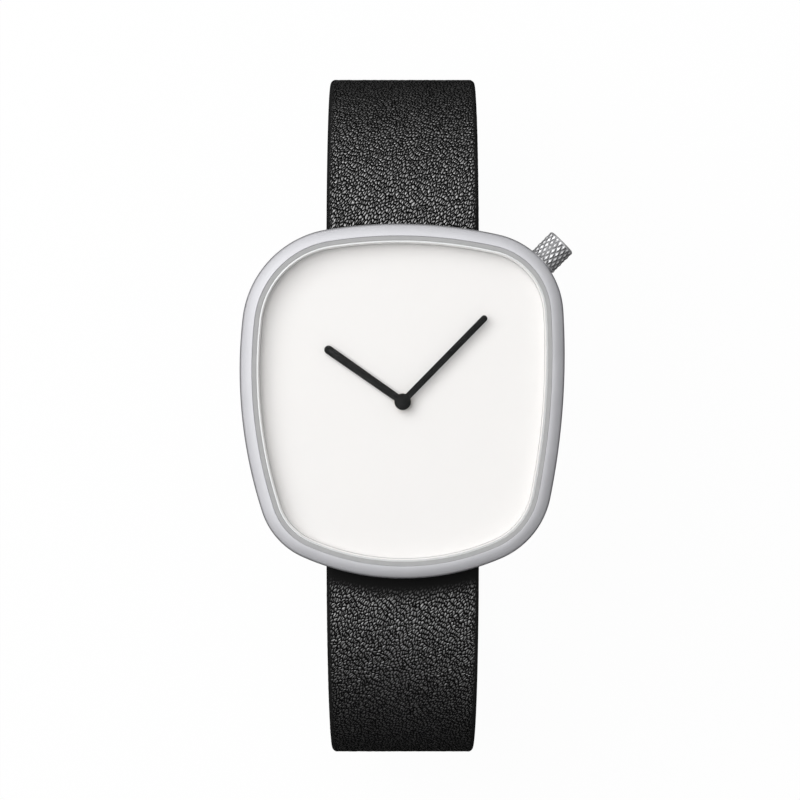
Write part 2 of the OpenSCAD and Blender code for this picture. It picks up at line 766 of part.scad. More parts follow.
// The two legs of the stator meet round the rotor
module stator() {
  leg = 0.6;
  pole = 1.85;
  elbow = [-5.4, -6.6];
  low = 1.2;
  color(DARK_STEEL) translate([0, 0, stator_z]) linear_extrude(lamina_t) difference() {
    union() {
      bar(coil_feet[0], rotor_at, leg);
      bar(coil_feet[1], elbow, leg);
      bar(elbow, rotor_at - [0, low], leg);
      bosses(concat(coil_feet, [elbow]), leg + 0.1);
      bosses([rotor_at], pole);
    }
    bosses([rotor_at], magnet_r + 0.25);
    bosses(coil_feet, screw_r + pin_gap);
  }
}

module battery() {
  cap_h = 0.25;
  color([0.78, 0.78, 0.8]) translate([cell_at.x, cell_at.y, cell_z]) {
    cylinder(r=cell_r, h=cell_h - cap_h);
    cylinder(r=cell_r - 0.5, h=cell_h);
  }
}

module battery_clamp() {
  z = cell_z - clamp_t;
  far = cell_at - [cell_r * 0.7, 0];
  color(STEEL) translate([0, 0, z]) linear_extrude(clamp_t) difference() {
    union() {
      bar(far, cell_at, 0.75);
      bar(cell_at, bridge_feet[1], 0.75);
      bosses([far, cell_at, bridge_feet[1]], 0.9);
    }
    bosses([bridge_feet[1]], screw_head_r + 0.05);
  }
}

module movement_screws() {
  z = board_z - screw_head_h;
  slot_w = 0.15;
  color(STEEL)
    for (p = concat(bridge_feet, plate_feet, coil_feet))
      translate([p.x, p.y, z]) difference() {
        union() {
          cylinder(r=screw_head_r, h=screw_head_h);
          cylinder(r=screw_r, h=plate_top_z - 0.2 - z);
        }
        translate([-1, -slot_w / 2, -CUT]) cube([2, slot_w, CUT + screw_head_h / 2]);
      }
}

module setting_lever() {
  nose_r = 0.14;
  nose = [groove_from + groove_w / 2, -0.28 - nose_r];
  pivot = [nose.x + crown_pull / 2, nose.y - lever_arm];
  z = stem_z - 0.1;
  color(DARK_STEEL) stem_frame() translate([0, 0, z]) difference() {
    linear_extrude(0.2) {
      bar(nose, pivot, nose_r * 0.8);
      bosses([nose], nose_r);
      bosses([pivot], 0.6);
    }
    translate([pivot.x, pivot.y, -CUT]) cylinder(r=0.25, h=1);
  }
}

module setting_wheel() {
  at = setting_wheel_at;
  color(BRASS) difference() {
    translate([at.x, at.y, 0])
      gear(motion_z, 2 * wheel_t, SETTING_TEETH, module_minute, minute_wheel_turn);
    translate([at.x, at.y, 0]) cylinder(r=arbor_r, h=case_h);
  }
}

// Forked plate that stands in the sliding pinion's groove
fork_from = pinion_from + 0.5;
fork_slot = 0.4;
fork_t = 0.3;
pinion_neck_r = 0.6;
module yoke() {
  color(DARK_STEEL) stem_frame() translate([fork_from + (fork_slot - fork_t) / 2, 0, 0]) {
    difference() {
      translate([0, -1, stem_z - 0.95]) cube([fork_t, 2, 0.95]);
      translate([-CUT, 0, stem_z]) rotate([0, 90, 0])
        cylinder(r=pinion_neck_r + stem_gap, h=fork_t + 2 * CUT);
    }
    translate([0, 0.7, stem_z - 0.95]) cube([2.4, 0.8, 0.15]);
  }
}

square_half = 0.31;
PINION_TEETH = 12;
module sliding_pinion() {
  teeth_to = fork_from;
  flange_from = fork_from + fork_slot;
  color(STEEL) difference() {
    union() {
      stem_frame() translate([pinion_from, 0, stem_z]) rotate([0, 90, 0]) {
        linear_extrude(teeth_to - pinion_from)
          polygon(toothed(PINION_TEETH, pinion_r / (PINION_TEETH / 2 + 0.85), gap_at(180, PINION_TEETH)));
        cylinder(r=pinion_neck_r, h=pinion_len);
      }
      on_stem(pinion_r - 0.05, flange_from, pinion_from + pinion_len);
    }
    stem_frame() translate([pinion_from - CUT, 0, stem_z])
      translate([0, -square_half - 0.04, -square_half - 0.04])
        cube([pinion_len + 2 * CUT, 2 * square_half + 0.08, 2 * square_half + 0.08]);
  }
}

stem_to = crown_reach - 0.4;
module stem() {
  color(STEEL) difference() {
    union() {
      on_stem(pilot_r, pilot_from, square_from);
      stem_frame() translate([square_from, -square_half, stem_z - square_half])
        cube([square_to - square_from, 2 * square_half, 2 * square_half]);
      on_stem(stem_r, square_to, stem_to);
    }
    difference() {
      on_stem(stem_r + CUT, groove_from, groove_from + groove_w);
      on_stem(0.25, groove_from - CUT, groove_from + groove_w + CUT);
    }
  }
}

// Crown: a diamond knurl is high and low points by turns round each row
knurl_pitch = 2 * PI * crown_r / knurl_count;
knurl_rows = round(2 * (crown_len - 2 * crown_bevel) / (knurl_pitch * knurl_stretch));
crown_cavity_r = tube_r + 0.05;
crown_cavity_to = tube_to + 0.1;
crown_seal_r = 1.3;
crown_seal_from = crown_from + 0.65;
crown_seal_w = 0.6;

// One row of the crown's skin at distance x, with high points of radius hi and low of radius lo
function crown_row(x, hi, lo, phase) = [
  for (k = [0:2 * knurl_count - 1])
    let (a = k * 180 / knurl_count, r = (k + phase) % 2 == 0 ? hi : lo)
      [r * cos(a), r * sin(a), x]
];

module crown() {
  end_r = crown_r - crown_bevel;
  low_r = crown_r - knurl_depth;
  color(STEEL) difference() {
    stem_frame() translate([crown_from, 0, stem_z]) rotate([0, 90, 0])
      skin(concat(
        [crown_row(0, end_r, end_r, 0)],
        [for (k = [0:knurl_rows])
          crown_row(crown_bevel + (crown_len - 2 * crown_bevel) * k / knurl_rows,
                    crown_r, low_r, k)],
        [crown_row(crown_len, end_r, end_r, 0)]));
    on_stem(crown_cavity_r, crown_from - CUT, crown_cavity_to);
    on_stem(crown_seal_r, crown_seal_from, crown_seal_from + crown_seal_w);
    on_stem(stem_r, crown_cavity_to - CUT, stem_to);
  }
}

module crown_gasket() {
  gap = 0.02;
  color(INK) difference() {
    on_stem(crown_seal_r - gap, crown_seal_from + gap, crown_seal_from + crown_seal_w - gap);
    on_stem(tube_r + gap, crown_from, crown_reach);
  }
}

// Hands and motion work
cannon_r = 0.5;
hour_pipe_r = 0.75;

// Turn a drawing that points to 12 to a clock direction
module clock(at) {
  rotate([0, 0, -at]) children();
}

module cannon_pinion() {
  top = minute_hand_z + hand_t;
  color(STEEL) difference() {
    union() {
      gear(motion_z, 2 * wheel_t, CANNON_TEETH, module_minute, minute_wheel_turn);
      translate([0, 0, motion_z]) cylinder(r=cannon_r, h=top - motion_z);
    }
    translate([0, 0, motion_z - CUT]) cylinder(r=arbor_r, h=top - motion_z - 0.05 + CUT);
  }
}

// Bar hand pointing to 12 with round ends, drawn flat
module hand_shape(len, root_w, end_w) {
  translate([0, len]) circle(d=end_w);
  polygon([[-root_w / 2, 0], [root_w / 2, 0], [end_w / 2, len], [-end_w / 2, len]]);
  circle(r=hub_r);
}

cap_h = 0.1;
module minute_hand() {
  color(INK) clock(minute_at) difference() {
    union() {
      translate([0, 0, minute_hand_z]) linear_extrude(hand_t)
        hand_shape(minute_len, minute_w, minute_w);
      translate([0, 0, minute_hand_z]) cylinder(r=hub_r, h=hand_t + cap_h);
    }
    translate([0, 0, minute_hand_z - CUT]) cylinder(r=cannon_r, h=hand_t + CUT);
  }
}

module hour_wheel() {
  top = hour_hand_z + hand_t;
  color(BRASS) difference() {
    union() {
      gear(hour_wheel_z, wheel_t, HOUR_TEETH, module_hour, minute_wheel_turn);
      translate([0, 0, hour_wheel_z]) cylinder(r=hour_pipe_r, h=top - hour_wheel_z);
    }
    translate([0, 0, hour_wheel_z - CUT]) cylinder(r=cannon_r + pin_gap, h=case_h);
    windows(5, 1.25, 0.3);
  }
}

module hour_hand() {
  color(INK) clock(hour_at) difference() {
    translate([0, 0, hour_hand_z]) linear_extrude(hand_t) hand_shape(hour_len, hour_root_w, hour_w);
    translate([0, 0, hour_hand_z - CUT]) cylinder(r=hour_pipe_r, h=case_h);
  }
}

module minute_wheel() {
  at = minute_wheel_at;
  color(BRASS) difference() {
    translate([at.x, at.y, 0]) {
      gear(motion_z, wheel_t, MINUTE_TEETH, module_minute, gap_at(minute_wheel_turn + 180, MINUTE_TEETH));
      gear(motion_z + wheel_t, hour_wheel_z - motion_z, MINUTE_PINION_TEETH, module_hour,
           gap_at(minute_wheel_turn + 180, MINUTE_PINION_TEETH));
    }
    translate([at.x, at.y, 0]) cylinder(r=arbor_r, h=case_h);
    translate([at.x, at.y, 0]) windows(5, 1.1, 0.3);
  }
}

module center_wheel() {
  top = minute_hand_z + hand_t - 0.1;
  color(BRASS) {
    difference() {
      gear(center_wheel_z, wheel_t, CENTER_TEETH, module_center, intermediate_turn);
      windows(5, 1.6, 0.55);
    }
    translate([0, 0, bridge_top_z + 0.05]) cylinder(r=arbor_r, h=top - bridge_top_z - 0.05);
    translate([0, 0, bridge_z]) cylinder(r=pivot_r, h=1);
  }
}

module intermediate_wheel() {
  at = intermediate_at;
  color(BRASS) translate([at.x, at.y, 0]) {
    difference() {
      gear(step_wheel_z, wheel_t, STEP_TEETH, module_step, rotor_turn);
      windows(5, 1.4, 0.45);
    }
    gear(center_wheel_z - 0.1, step_wheel_z - center_wheel_z + 0.1, STEP_PINION_TEETH, module_center,
         gap_at(intermediate_turn + 180, STEP_PINION_TEETH));
    translate([0, 0, bridge_z]) cylinder(r=pivot_r, h=plate_top_z - 0.25 - bridge_z);
  }
}

module rotor() {
  color(DARK_STEEL) translate([rotor_at.x, rotor_at.y, 0]) {
    translate([0, 0, stator_z]) cylinder(r=magnet_r, h=lamina_t);
    gear(rotor_top_z, step_wheel_z + wheel_t + 0.1 - rotor_top_z, ROTOR_TEETH, module_step,
         gap_at(rotor_turn + 180, ROTOR_TEETH));
    translate([0, 0, bridge_z]) cylinder(r=pivot_r, h=plate_top_z - 0.25 - bridge_z);
  }
}

// Strap. A path is legs of [length, turn in degrees], walked from [y, z, heading] in the YZ plane
function go(at, run, turn) =
  let (h = at[2])
    turn == 0
      ? [at[0] + run * cos(h), at[1] + run * sin(h), h]
      : let (r = run / (turn * PI / 180))
          [at[0] + r * (sin(h + turn) - sin(h)), at[1] - r * (cos(h + turn) - cos(h)), h + turn];

function along(legs, start, s, i=0) =
  i == len(legs) - 1 || s <= legs[i][0]
    ? go(start, s, legs[i][1] * s / legs[i][0])
    : along(legs, go(start, legs[i][0], legs[i][1]), s - legs[i][0], i + 1);

function path_len(legs, count) = count == 0 ? 0 : legs[count - 1][0] + path_len(legs, count - 1);
function ease(x) = let (t = min(max(x, 0), 1)) t * t * (3 - 2 * t);
function mix(a, b, t) = a + (b - a) * t;

// Levels of the strap's middle: under the wrist, and of the long half over and before the buckle
short_z = bar_z - wrist_drop;
over_z = short_z - strap_t / 2 - layer_gap - tail_t / 2;
// How far the long half rises from over the buckle's hinge to pass inside the far bar
sway = 1.1;
long_z = over_z + sway;
floor_z = over_z - tail_t / 2 - keeper_gap - keeper_t;
bend_r_12 = wrist_drop / 2;
bend_r_6 = (bar_z - long_z) / 2;
bend_y_12 = spread_12 - strap_t / 2 - bend_r_12;
bend_y_6 = strap_t / 2 + bend_r_6 - spread_6;
hinge_y = bend_y_12 - short_run;
hinge_z = short_z + buckle_roll_r - strap_t / 2;
sway_to = hinge_y - 0.7;
sway_run = 7.8;
sway_turn = 2 * atan(sway / sway_run);
sway_leg = sway_run / (2 * sin(sway_turn)) * sway_turn * PI / 180;
tail_r = bend_r_12 + strap_t / 2 + layer_gap + tail_t / 2;

start_12 = [bar_y_12, bar_z, 0];
legs_12 = [[bend_y_12 - bar_y_12, 0], [PI * bend_r_12, -180], [short_run, 0]];
len_12 = path_len(legs_12, 3);
start_6 = [bar_y_6, bar_z, 180];
legs_6 = [
  [bar_y_6 - bend_y_6, 0],
  [PI * bend_r_6, 180],
  [sway_to - sway_run - bend_y_6, 0],
  [sway_leg, -sway_turn],
  [sway_leg, sway_turn],
  [bend_y_12 - sway_to, 0],
  [tail_len, tail_len / tail_r * 180 / PI]
];
len_6 = path_len(legs_6, 7);
sway_end_6 = path_len(legs_6, 5);

// Lengths over which the strap's rolls blend into its flat, at the case and at the buckle
roll_blend = 3.2;
buckle_blend = 2.4;
lining_from = 5;
lining_end = 3.5;
// Lengths over which the long half reaches its end width and thickness
taper_6 = 57;
tip_round = 8;
SMALL = 0.02;
// Small rounding where the upper leather meets the lining, and the lining's set-in and rounding
SEAM = 0.15;
LINING_IN = 0.1;
LINING_EDGE = 0.25;

function width_12(s) = mix(strap_w, strap_end_w, ease_in(s / len_12)) / 2;
function ease_in(x) = min(max(x, 0), 1) ^ 1.5;
function tip_taper(s) =
  let (x = max(s - len_6 + tip_round, 0) / tip_round) (1 - min(x, 0.985) ^ 2.5) ^ 0.5;
function width_6(s) = mix(strap_w, strap_end_w, ease_in(s / taper_6)) / 2 * tip_taper(s);

// Half the strap's thickness at a roll of radius r, at distance x from the bar along the strap
function roll_half(x, r) = sqrt(max(r * r - x * x, 0));

function outer_12(s) =
  s < 0 ? roll_half(s, roll_r)
  : s > len_12 ? roll_half(s - len_12, buckle_roll_r) - buckle_roll_r + strap_t / 2
  : mix(roll_r, strap_t / 2, ease(s / roll_blend));
function inner_12(s) =
  s < 0 ? roll_half(s, roll_r)
  : s > len_12 ? roll_half(s - len_12, buckle_roll_r) + buckle_roll_r - strap_t / 2
  : s > len_12 - buckle_blend
    ? mix(strap_t / 2, 2 * buckle_roll_r - strap_t / 2, ease((s - len_12 + buckle_blend) / buckle_blend))
  : mix(roll_r, strap_t / 2, ease(s / roll_blend));
function half_6(s) =
  s < 0 ? roll_half(s, roll_r)
  : mix(mix(roll_r, strap_t / 2, ease(s / roll_blend)), tail_t / 2, ease(s / taper_6));

// Section of the strap: half width w, from inner below to outer above the path
function section(w, outer, inner, edge, seam) =
  let (r = min(edge, (outer + inner) * 0.45, w * 0.9), q = min(seam, (outer + inner) * 0.45, w * 0.5))
    concat(
      [for (a = [0, 30, 60, 90]) [w - r + r * cos(a), outer - r + r * sin(a)]],
      [for (a = [90, 120, 150, 180]) [r - w + r * cos(a), outer - r + r * sin(a)]],
      [for (a = [180, 270]) [q - w + q * cos(a), q - inner + q * sin(a)]],
      [for (a = [270, 360]) [w - q + q * cos(a), q - inner + q * sin(a)]]);

// One ring of a strap half; side is -1 for the half at 12 and 1 for the half at 6
function strap_ring(at, side, points) =
  let (n = at[2] - 90 * side)
    [for (p = points) [side * p[0], at[0] + p[1] * cos(n), at[1] + p[1] * sin(n)]];

ARC_STEP = 5;
// Distances along a bend of the strap
function bend_stations(from, run, turn) = [
  for (k = [0:ceil(abs(turn) / ARC_STEP)]) from + run * k / ceil(abs(turn) / ARC_STEP)
];
roll_stations = [for (a = [-80:16:0]) roll_r * sin(a)];
blend_stations = [for (k = [1:4]) roll_blend * k / 4];
function between(list, from, to) = [for (s = list) if (s > from && s < to) s];

stations_12 = concat(
  bend_stations(legs_12[0][0], legs_12[1][0], 180),
  [len_12 - short_run / 2]);
lining_12 = concat([lining_from], between(stations_12, lining_from + 0.3, len_12 - lining_end - 0.3),
                   [len_12 - lining_end]);

// Shift by the width of the step between the upper leather and the lining
function upper_stations(lining) = concat(
  [lining[0] - SMALL], lining, [lining[len(lining) - 1] + SMALL]);

// How far the upper leather reaches inward: less by the lining where it is lined
function upper_inner(whole, lined) = lined ? whole - lining_t : whole;

module strap_upper(legs, start, side, before, lining, after) {
  stations = concat(before, upper_stations(lining), after);
  last = lining[len(lining) - 1];
  skin([
    for (s = stations)
      let (lined = s >= lining[0] && s <= last, at = along(legs, start, s))
        strap_ring(at, side,
          side < 0
            ? section(width_12(s), outer_12(s), upper_inner(inner_12(s), lined), strap_edge, SEAM)
            : section(width_6(s), half_6(s), upper_inner(half_6(s), lined), strap_edge, SEAM))
  ]);
}

module strap_lining(legs, start, side, lining) {
  skin([
    for (s = lining)
      let (at = along(legs, start, s))
        strap_ring(at, side,
          side < 0
            ? section(width_12(s) - LINING_IN, lining_t - inner_12(s), inner_12(s), SMALL, LINING_EDGE)
            : section(width_6(s) - LINING_IN, lining_t - half_6(s), half_6(s), SMALL, LINING_EDGE))
  ]);
}

// Tunnel for a spring bar
module bar_tunnel(y, z) {
  translate([0, y, z]) rod_x(sleeve_r + pin_gap, lug_w + 4);
}

module strap_12() {
  before = concat(roll_stations, between(blend_stations, 0, lining_from - 0.3));
  after = concat(
    [for (k = [0:4]) len_12 - buckle_blend * (1 - k / 4)],
    [for (a = [16:16:80]) len_12 + buckle_roll_r * sin(a)]);
  color(LEATHER) difference() {
    strap_upper(legs_12, start_12, -1, before, lining_12, after);
    bar_tunnel(bar_y_12, bar_z);
    bar_tunnel(hinge_y, hinge_z);
    translate([-tongue_w / 2 - 0.65, hinge_y - 1.8, hinge_z - 3])
      cube([tongue_w + 1.3, 1.8 + tongue_eye + 0.25, 6]);
  }
}

module strap_12_lining() {
  color(LINING) strap_lining(legs_12, start_12, -1, lining_12);
}

stations_6 = concat(
  bend_stations(legs_6[0][0], legs_6[1][0], 180),
  bend_stations(path_len(legs_6, 3), legs_6[3][0], sway_turn),
  bend_stations(path_len(legs_6, 4) + SMALL, legs_6[4][0] - SMALL, sway_turn),
  bend_stations(path_len(legs_6, 6), tail_len - tip_round - SMALL, 10),
  [for (k = [0:6]) len_6 - tip_round * cos(k * 13)]);
tip_end = len_6 - tip_round * 0.12;
lining_6 = concat([lining_from], between(stations_6, lining_from + 0.3, tip_end), [tip_end]);

// Centre of the hole in use: where the tongue crosses the long half
cross_y = hinge_y - (hinge_z - over_z) / tan(tongue_lean);
hole_s = sway_end_6 + cross_y - sway_to;

module strap_holes() {
  for (k = [-3:2]) {
    at = along(legs_6, start_6, hole_s + k * hole_pitch);
    translate([0, at[0], at[1]]) rotate([at[2] - 180, 0, 0])
      translate([0, 0, -3]) linear_extrude(6) {
        square([hole_w, hole_len - hole_w], center=true);
        for (side = [-1, 1]) translate([0, side * (hole_len - hole_w) / 2]) circle(d=hole_w);
      }
  }
}

module strap_6() {
  before = concat(roll_stations, between(blend_stations, 0, lining_from - 0.3));
  color(LEATHER) difference() {
    strap_upper(legs_6, start_6, 1, before, lining_6, [len_6]);
    bar_tunnel(bar_y_6, bar_z);
    strap_holes();
  }
}

module strap_6_lining() {
  color(LINING) difference() {
    strap_lining(legs_6, start_6, 1, lining_6);
    strap_holes();
  }
}

// Spring bar with a sleeve of the length given and a tip at each end
module spring_bar(y, z, sleeve_len) {
  color(STEEL) translate([0, y, z]) {
    rod_x(sleeve_r, sleeve_len);
    rod_x(tip_r, sleeve_len + 2 * tip_len);
  }
}

module spring_bar_12() {
  spring_bar(bar_y_12, bar_z, lug_w - 4 * pin_gap);
}

module spring_bar_6() {
  spring_bar(bar_y_6, bar_z, lug_w - 4 * pin_gap);
}

// Buckle
arm_in = strap_end_w / 2 + 0.1 + frame_gap;
far_bar = [hinge_y - frame_len, floor_z + frame_r];

// Flat bar of thickness t that follows a path in the YZ plane
function ribbon(legs, start, stations, t) = concat(
  [for (s = stations) let (p = along(legs, start, s)) [p[0], p[1]] + polar(t / 2, p[2] + 90)],
  [for (k = [len(stations) - 1:-1:0])
    let (p = along(legs, start, stations[k])) [p[0], p[1]] + polar(t / 2, p[2] - 90)]);

// Extrude a drawing of the YZ plane across the strap
module across(from, to) {
  multmatrix([[0, 0, 1, from], [1, 0, 0, 0], [0, 1, 0, 0], [0, 0, 0, 1]])
    linear_extrude(to - from) children();
}

module buckle_frame() {
  hinge = [hinge_y, hinge_z];
  chord = norm(far_bar - hinge);
  arm_r = chord / (2 * sin(arm_bulge));
  arm_len = arm_r * 2 * arm_bulge * PI / 180;
  legs = [[arm_len, -2 * arm_bulge]];
  start = [hinge.x, hinge.y, bearing(hinge, far_bar) + arm_bulge];
  steps = [for (k = [0:10]) arm_len * k / 10];
  arm_out = arm_in + arm_w;
  color(STEEL) difference() {
    union() {
      for (x = [-arm_out, arm_in]) {
        across(x, x + arm_w) polygon(ribbon(legs, start, steps, arm_t));
        translate([x + arm_w / 2, hinge.x, hinge.y]) rod_x(sleeve_r + 0.55, arm_w);
      }
      translate([0, far_bar.x, far_bar.y]) rod_x(frame_r, 2 * arm_out);
    }
    translate([0, hinge_y, hinge_z]) rod_x(tip_r + pin_gap, 2 * (arm_in + tip_len + pin_gap));
    translate([-tongue_w / 2 - 0.15, far_bar.x - 2, floor_z - 1])
      cube([tongue_w + 0.3, 4, 1 + tongue_t + 0.05]);
  }
}

module buckle_bar() {
  spring_bar(hinge_y, hinge_z, 2 * arm_in - 4 * pin_gap);
}

module buckle_tongue() {
  tip_z = floor_z + tongue_t / 2;
  lead = (hinge_z - tip_z - tongue_bend * (1 - cos(tongue_lean))) / sin(tongue_lean);
  bend = tongue_bend * tongue_lean * PI / 180;
  flat_from = hinge_y - lead * cos(tongue_lean) - tongue_bend * sin(tongue_lean);
  flat = flat_from - far_bar.x + frame_r * 0.7;
  legs = [[lead, 0], [bend, -tongue_lean], [flat, 0]];
  start = [hinge_y, hinge_z, 180 + tongue_lean];
  stations = concat([tongue_eye * 0.7], bend_stations(lead, bend, tongue_lean), [lead + bend + flat]);
  color(STEEL) difference() {
    union() {
      across(-tongue_w / 2, tongue_w / 2) polygon(ribbon(legs, start, stations, tongue_t));
      translate([0, hinge_y, hinge_z]) rod_x(tongue_eye, tongue_w);
    }
    translate([0, hinge_y, hinge_z]) rod_x(sleeve_r + pin_gap, 4);
  }
}

// Keepers
keeper_travel = 3;
keeper_half = width_12(len_12 - keeper_free - keeper_len - keeper_travel) + keeper_gap;
keeper_in_top = short_z + strap_t / 2;

module rounded(w, h, r) {
  square([w - 2 * r, h], center=true);
  square([w, h - 2 * r], center=true);
  for (x = [r - w / 2, w / 2 - r], y = [r - h / 2, h / 2 - r]) translate([x, y]) circle(r=r);
}

// Keeper that starts at y, with room above the short half
module keeper(y, room) {
  top = keeper_in_top + room;
  bottom = floor_z + keeper_t;
  h = top - bottom;
  color(LEATHER) translate([0, y, (top + bottom) / 2]) rotate([-90, 0, 0])
    linear_extrude(keeper_len) difference() {
      rounded(2 * (keeper_half + keeper_t), h + 2 * keeper_t, 1);
      rounded(2 * keeper_half, h, 0.25);
    }
}

module fixed_keeper() {
  keeper(hinge_y + keeper_fixed, 0.02);
}

module free_keeper() {
  keeper(hinge_y + keeper_free, keeper_gap);
}

case_middle();
crystal();
crystal_gasket();
case_back();
case_back_gasket();
crown_tube();
dial();
movement_holder();
mainplate();
train_bridge();
circuit_board();
driver_chip();
quartz_can();
coil();
coil_core();
stator();
battery();
battery_clamp();
movement_screws();
setting_lever();
setting_wheel();
yoke();
sliding_pinion();
stem();
crown();
crown_gasket();
cannon_pinion();
minute_hand();
hour_wheel();
hour_hand();
minute_wheel();
center_wheel();
intermediate_wheel();
rotor();
spring_bar_12();
spring_bar_6();
strap_12();
strap_12_lining();
strap_6();
strap_6_lining();
fixed_keeper();
free_keeper();
buckle_frame();
buckle_bar();
buckle_tongue();
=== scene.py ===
import math

import bmesh
import bpy
from mathutils import Matrix, Vector


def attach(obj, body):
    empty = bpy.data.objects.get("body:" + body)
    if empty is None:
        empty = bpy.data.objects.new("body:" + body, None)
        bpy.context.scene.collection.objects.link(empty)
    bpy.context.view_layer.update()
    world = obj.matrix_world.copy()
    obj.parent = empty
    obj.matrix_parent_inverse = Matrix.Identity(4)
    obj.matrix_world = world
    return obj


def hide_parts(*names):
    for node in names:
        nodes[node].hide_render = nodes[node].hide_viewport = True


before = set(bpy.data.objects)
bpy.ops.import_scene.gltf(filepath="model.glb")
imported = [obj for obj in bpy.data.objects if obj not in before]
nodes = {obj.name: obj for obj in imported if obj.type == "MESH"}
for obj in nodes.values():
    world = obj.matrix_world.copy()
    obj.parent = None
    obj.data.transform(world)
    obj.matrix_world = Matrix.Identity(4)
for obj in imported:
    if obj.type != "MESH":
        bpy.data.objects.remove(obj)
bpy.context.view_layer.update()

# Studio: the camera looks straight down on the dial from half a metre. One large soft lamp stands
# at the upper left and the watch rests on a white floor. Grey cards that glow, and that only
# mirrors and glass see, stand round it as flags do when polished metal and glass are photographed.
MM = 0.001
BEZEL_TOP = 7
CAMERA_AT = (-0.31, 0.2)
CAMERA_RISE = 480
LENS = 187.1
SENSOR = 36
FILL_LIGHT = 0.43
FLOOR_Z = -41.35
FLOOR_HALF = 2000
FLOOR_GLOW = 0.965
scene = bpy.context.scene
scene.view_settings.view_transform = "Standard"


def link(name, data):
    """A new object at the origin that shows data."""
    made = bpy.data.objects.new(name, data)
    scene.collection.objects.link(made)
    return made


camera = link("camera", bpy.data.cameras.new("camera"))
camera.location = Vector((*CAMERA_AT, BEZEL_TOP + CAMERA_RISE)) * MM
camera.data.sensor_width = SENSOR
camera.data.lens = LENS
camera.data.clip_start = 0.01
scene.camera = camera


class Wire:
    """A socket in a node tree. Sums and products of wires add Math nodes to the tree."""

    def __init__(self, tree, socket=None):
        self.tree = tree
        self.socket = socket

    def node(self, kind, settings=None, values=None, out=0):
        """The output of a new node: its settings come first, then what its sockets hold."""
        made = self.tree.nodes.new(kind)
        for name, value in (settings or {}).items():
            setattr(made, name, value)
        for name, value in (values or {}).items():
            if isinstance(value, Wire):
                self.tree.links.new(value.socket, made.inputs[name])
            else:
                made.inputs[name].default_value = value
        return Wire(self.tree, made.outputs[out] if made.outputs else None)

    def math(self, operation, *values):
        return self.node("ShaderNodeMath", {"operation": operation}, dict(enumerate(values)))

    def __add__(self, other):
        return self.math("ADD", self, other)

    def __sub__(self, other):
        return self.math("SUBTRACT", self, other)

    def __rsub__(self, other):
        return self.math("SUBTRACT", other, self)

    def __mul__(self, other):
        return self.math("MULTIPLY", self, other)

    def __truediv__(self, other):
        return self.math("DIVIDE", self, other)

    __radd__ = __add__
    __rmul__ = __mul__

    def step(self, low, high):
        """0 below low, 1 above high and smooth between."""
        settings = {"interpolation_type": "SMOOTHSTEP"}
        return self.node("ShaderNodeMapRange", settings, {"Value": self, 1: low, 2: high})


def any_ray(wire, *kinds):
    """1 for rays of these kinds and 0 for the others."""
    path = wire.tree.nodes.new("ShaderNodeLightPath")
    rays = [Wire(wire.tree, path.outputs[f"Is {kind} Ray"]) for kind in kinds]
    seen = rays[0]
    for ray in rays[1:]:
        seen = wire.math("MAXIMUM", seen, ray)
    return seen


def white_to_eye(wire, shade, share, glow):
    """Shade for lamps and mat surfaces, and a share of glow for the eye, mirrors and glass."""
    seen = any_ray(wire, "Camera", "Glossy", "Transmission")
    return wire.node("ShaderNodeMixShader", None, {0: seen * share, 1: shade, 2: glow})


def lamp(name, at, size, power):
    """Square lamp that shines from at, in mm, on the dial."""
    data = bpy.data.lights.new(name, "AREA")
    data.size = size * MM
    data.energy = power
    made = link(name, data)
    made.location = Vector(at) * MM
    made.rotation_euler = (-Vector(at)).to_track_quat("-Z", "Y").to_euler()


lamp("key_lamp", at=(-295, 220, 530), size=620, power=4.0)

world = bpy.data.worlds.new("studio")
world.use_nodes = True
world.node_tree.nodes.clear()
air = Wire(world.node_tree)
fill, white = [air.node("ShaderNodeBackground", None, {"Color": (1, 1, 1, 1), "Strength": light})
               for light in (FILL_LIGHT, 1.0)]
air.node("ShaderNodeOutputWorld", None, {"Surface": white_to_eye(air, fill, 1.0, white)})
scene.world = world


def material(name):
    """An empty material, and a wire of its node tree."""
    made = bpy.data.materials.new(name)
    made.use_nodes = True
    made.node_tree.nodes.clear()
    return made, Wire(made.node_tree)


def coat(wire, shader):
    wire.node("ShaderNodeOutputMaterial", None, {"Surface": shader})


def glowing(wire, strength):
    return wire.node("ShaderNodeEmission", None, {"Color": (1, 1, 1, 1), "Strength": strength})


def plane(name, half, z):
    """Square sheet at the height z, with half its width given, in mm."""
    mesh = bpy.data.meshes.new(name)
    corners = [(-half, -half, z), (half, -half, z), (half, half, z), (-half, half, z)]
    mesh.from_pydata([Vector(p) * MM for p in corners], [], [(0, 1, 2, 3)])
    made = link(name, mesh)
    return made


floor = plane("floor", FLOOR_HALF, FLOOR_Z)
paper, ink = material("paper")
sheet = ink.node("ShaderNodeBsdfDiffuse", None, {"Color": (0.9, 0.9, 0.9, 1)})
lit = white_to_eye(ink, sheet, FLOOR_GLOW, glowing(ink, 1.0))
# From below, the floor lets the eye through to the back of the watch
clear = ink.node("ShaderNodeBsdfTransparent")
below = ink.node("ShaderNodeNewGeometry", out="Backfacing")
coat(ink, ink.node("ShaderNodeMixShader", None, {0: below, 1: lit, 2: clear}))
floor.data.materials.append(paper)


def flag(piece, look):
    """Makes a piece of the studio that only mirrors and glass see."""
    for ray in ("camera", "diffuse", "volume_scatter", "shadow"):
        setattr(piece, f"visible_{ray}", False)
    piece.data.materials.append(look)


LENS_CARD_Z = 520
LENS_CARD_HALF = 110
LENS_CARD_GLOW = 0.08
lens_card_glow, ink = material("lens_card_glow")
# The lens card's grey is a glow that only mirrors and glass see
coat(ink, glowing(ink, LENS_CARD_GLOW))
flag(plane("lens_card", LENS_CARD_HALF, LENS_CARD_Z), lens_card_glow)


